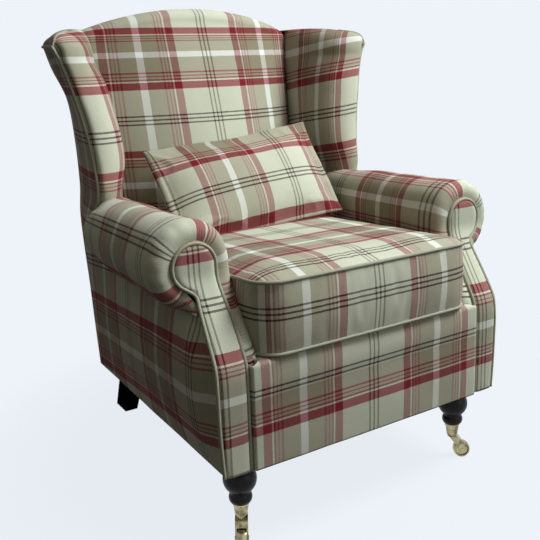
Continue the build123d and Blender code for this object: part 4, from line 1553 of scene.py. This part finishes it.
@dataclass
class ScatterCushion:
    """The loose knife-edged cushion that leans on the back."""

    width: float = 452.0
    height: float = 262.0
    thickness: float = 128.0
    lean: float = 34.0
    turn: float = -5.0
    middle: Point = (11.0, 489.0, 624.0)
    pull: float = 13.0
    dark_x: float = -227.0

    # (height on the cushion, place in the sett)
    rows = Contour(((-145, -118), (-116, -88), (-18, 0), (65, 88), (145, 172)))

    def frame(self) -> Matrix:
        """Matrix from the cushion's flat to the chair."""
        lean, turn = math.radians(self.lean), math.radians(self.turn)
        x_dir = Vector((math.cos(turn), 0, -math.sin(turn)))
        z_dir = Vector(
            (-math.sin(turn) * math.sin(lean), -math.cos(lean), math.sin(lean) * math.cos(turn))
        ).normalized()
        y_dir = z_dir.cross(x_dir).normalized()
        made = Matrix((x_dir, y_dir, z_dir)).transposed().to_4x4()
        made.translation = at(*self.middle)
        return made

    def build(self, finishes: Finishes) -> None:
        """Makes the cushion."""
        frame = self.frame()
        sewing = Sewing()

        def local(share: float, up: float) -> tuple[float, float, float, float, float]:
            a, b = 2 * share - 1, 2 * up - 1
            x = a * (self.width / 2 - self.pull * (1 - b * b) * abs(a))
            y = b * (self.height / 2 - self.pull * (1 - a * a) * abs(b))
            full = ((1 - abs(a) ** 3.2) * (1 - abs(b) ** 2.6)) ** 0.56
            return a, b, x, y, full

        def front(share: float, up: float) -> Vector:
            a, b, x, y, full = local(share, up)
            chop = 16 * math.exp(-(((a - 0.05) / 0.22) ** 2)) * max(0.0, (b - 0.2) / 0.8) ** 1.5
            chop *= 1 - abs(b) ** 6
            wrinkle = 2.2 * noise.noise(Vector((x / 55, y / 55, 5.5))) * min(full * 2, 1)
            proud = self.thickness / 2 * full + wrinkle - chop
            return frame @ Vector((x / 1000, y / 1000, proud / 1000))

        def rear(share: float, up: float) -> Vector:
            _, _, x, y, full = local(share, up)
            return frame @ Vector((x / 1000, y / 1000, -self.thickness / 2 * full / 1000))

        def lay(share: float, up: float) -> tuple[float, float]:
            a, b = 2 * share - 1, 2 * up - 1
            x, y = a * self.width / 2, b * self.height / 2
            return (x - self.dark_x) * 1.053 / 1000, self.rows(y)[0] / 1000

        sewing.panel(96, 64, front, lay)
        sewing.panel(96, 64, rear, lay, flip=True)
        piece = sewing.finish("scatter_cushion_cover", finishes.wool)
        plump(piece, lambda place: False, 0.009, 0.015)
        declare(piece, "scatter_cushion_body", ["scatter_cushion"])


# ------------------------------------------------------------------ what the frame brings


@dataclass
class Carcass:
    """The legs, castors and hidden frame, which keep their own shapes and get their finishes."""

    nodes: dict[str, bpy.types.Object]

    def dress(self, starts: Sequence[str], material: bpy.types.Material) -> None:
        """Gives a finish to every node whose name starts so.

        Args:
            starts: beginnings of names.
            material: the finish.
        """
        for name, node in self.nodes.items():
            if name.startswith(tuple(starts)):
                node.data.materials.clear()
                node.data.materials.append(material)
                log.info("%s is finished in %s", name, material.name)

    def build(self, finishes: Finishes) -> None:
        """Dresses them all."""
        hardwood = (
            "seat_front_rail", "seat_back_rail", "seat_side_rail", "corner_blocks",
            "arm_front_board", "arm_rail", "arm_tack_rail", "back_post",
            "back_top_rail", "back_lower_rail", "wing_board",
        )
        for starts, material in (
            (("front_leg",), finishes.leg_wood),
            (("back_leg",), finishes.square_leg_wood),
            (("castor_",), finishes.brass),
            (hardwood, finishes.frame_wood),
            (("seat_springs", "spring_clips", "leg_bolts"), finishes.steel),
            (("back_webbing",), finishes.webbing),
            (("seat_deck",), finishes.felt),
            (("dust_cover",), finishes.dust_cloth),
        ):
            self.dress(starts, material)


# ------------------------------------------------------------------ the studio


@dataclass
class Studio:
    """The camera, the pale floor and the lamps."""

    backdrop: Point = (0.855, 0.896, 0.947)
    tint: Point = (1.06, 0.97, 0.82)
    ambient: float = 0.17
    floor_share: float = 0.08
    shadow_share: float = 0.068
    fade_from: float = 0.45
    fade_to: float = 0.95
    place: Point = (-0.9095, -1.5027, 0.8998)
    azimuth: float = -31.920
    elevation: float = 12.447
    roll: float = -1.932
    lens: float = 50.549
    shift: tuple[float, float] = (-0.008865, -0.06523)

    def camera(self) -> None:
        """Sets the camera where the photograph was taken from."""
        az, el, roll = (math.radians(value) for value in (self.azimuth, self.elevation, self.roll))
        back = Vector((math.sin(az) * math.cos(el), -math.cos(az) * math.cos(el), math.sin(el)))
        right = (-back).cross(Vector((0, 0, 1))).normalized()
        up = right.cross(-back)
        x_axis = right * math.cos(roll) + up * math.sin(roll)
        y_axis = -right * math.sin(roll) + up * math.cos(roll)
        data = bpy.data.cameras.new("camera")
        data.sensor_width = 36.0
        data.lens = self.lens
        data.shift_x, data.shift_y = self.shift
        data.clip_start = 0.05
        camera = linked("camera", data)
        matrix = Matrix((x_axis, y_axis, back)).transposed().to_4x4()
        matrix.translation = Vector(self.place)
        camera.matrix_world = matrix
        bpy.context.scene.camera = camera

    @staticmethod
    def seen_plain(nodes: Nodes) -> bpy.types.NodeSocket:
        """One where the camera, a gloss or a clear piece looks, nought elsewhere."""
        path = nodes.node("ShaderNodeLightPath").outputs
        seen = nodes.math("MAXIMUM", path["Is Camera Ray"], path["Is Glossy Ray"])
        return nodes.math("MAXIMUM", seen, path["Is Transmission Ray"])

    def world(self) -> None:
        """The plain backdrop all round and its soft light."""
        world = bpy.data.worlds.new("studio")
        nodes = Nodes(world)
        soft = nodes.result("ShaderNodeBackground", (*self.tint, 1.0), self.ambient)
        plain = nodes.result("ShaderNodeBackground", (*self.backdrop, 1.0), 1.0)
        mixed = nodes.result("ShaderNodeMixShader", self.seen_plain(nodes), soft, plain)
        nodes.link(mixed, nodes.node("ShaderNodeOutputWorld").inputs[0])
        bpy.context.scene.world = world

    def floor(self) -> None:
        """A wide pale floor that keeps the chair's shadow and fades into the backdrop."""
        bm = bmesh.new()
        bmesh.ops.create_grid(bm, x_segments=1, y_segments=1, size=14.0)
        mesh = bpy.data.meshes.new("floor")
        bm.to_mesh(mesh)
        bm.free()
        floor = linked("floor", mesh)
        material = bpy.data.materials.new("pale_floor")
        nodes = Nodes(material)
        pale = (*self.backdrop, 1.0)
        shaded = (*(self.shadow_share * c for c in self.backdrop), 1.0)
        matt = nodes.result("ShaderNodeBsdfDiffuse", shaded)
        strength = nodes.math("MULTIPLY", self.seen_plain(nodes), 1 - self.floor_share)
        plain = nodes.result("ShaderNodeEmission", pale, strength)
        near = nodes.result("ShaderNodeAddShader", matt, plain)
        far = nodes.result("ShaderNodeEmission", pale, self.seen_plain(nodes))
        length = nodes.node("ShaderNodeVectorMath", operation="LENGTH")
        nodes.link(nodes.node("ShaderNodeTexCoord").outputs["Object"], length.inputs[0])
        fade = nodes.node("ShaderNodeMapRange", interpolation_type="SMOOTHSTEP")
        fade.inputs["From Min"].default_value = self.fade_from
        fade.inputs["From Max"].default_value = self.fade_to
        nodes.link(length.outputs["Value"], fade.inputs["Value"])
        whole = nodes.result("ShaderNodeMixShader", fade.outputs[0], near, far)
        nodes.link(whole, nodes.node("ShaderNodeOutputMaterial").inputs[0])
        mesh.materials.append(material)

    def lamp(
        self, name: str, place: Point, aim: Point, size: float, power: float, colour: Point
    ) -> None:
        """A soft square lamp.

        Args:
            name: of the lamp.
            place: in metres.
            aim: what it looks at, in metres.
            size: of its side, in metres.
            power: in watts.
            colour: of its light.
        """
        data = bpy.data.lights.new(name, "AREA")
        data.shape = "SQUARE"
        data.size = size
        data.energy = power
        data.color = colour
        lamp = linked(name, data)
        lamp.location = place
        heading = (Vector(aim) - Vector(place)).to_track_quat("-Z", "Y")
        lamp.rotation_euler = heading.to_euler()

    def build(self) -> None:
        """Sets up the whole studio."""
        self.camera()
        self.world()
        self.floor()
        self.lamp("key", (1.55, -1.2, 2.9), (0.0, 0.0, 0.5), 1.3, 130.0, (0.96, 0.99, 1.0))
        self.lamp("fill", (1.2, -3.0, 1.2), (0.0, 0.0, 0.5), 1.6, 12.0, (1.0, 0.99, 0.97))
        bpy.context.scene.view_settings.view_transform = "Standard"


def main() -> None:
    """Loads the frame and builds the chair over it."""
    logging.basicConfig(level=logging.INFO, format="%(name)s: %(message)s")
    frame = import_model()
    Studio().build()
    finishes = Finishes()
    Carcass(frame["nodes"]).build(finishes)
    for side in Side:
        ScrollArm(side).build(finishes)
        WingSide(side).build(finishes)
    PaddedBack().build(finishes)
    FrontBorder().build(finishes)
    SeatCushion().build(finishes)
    ScatterCushion().build(finishes)


if __name__ == "__main__":
    main()
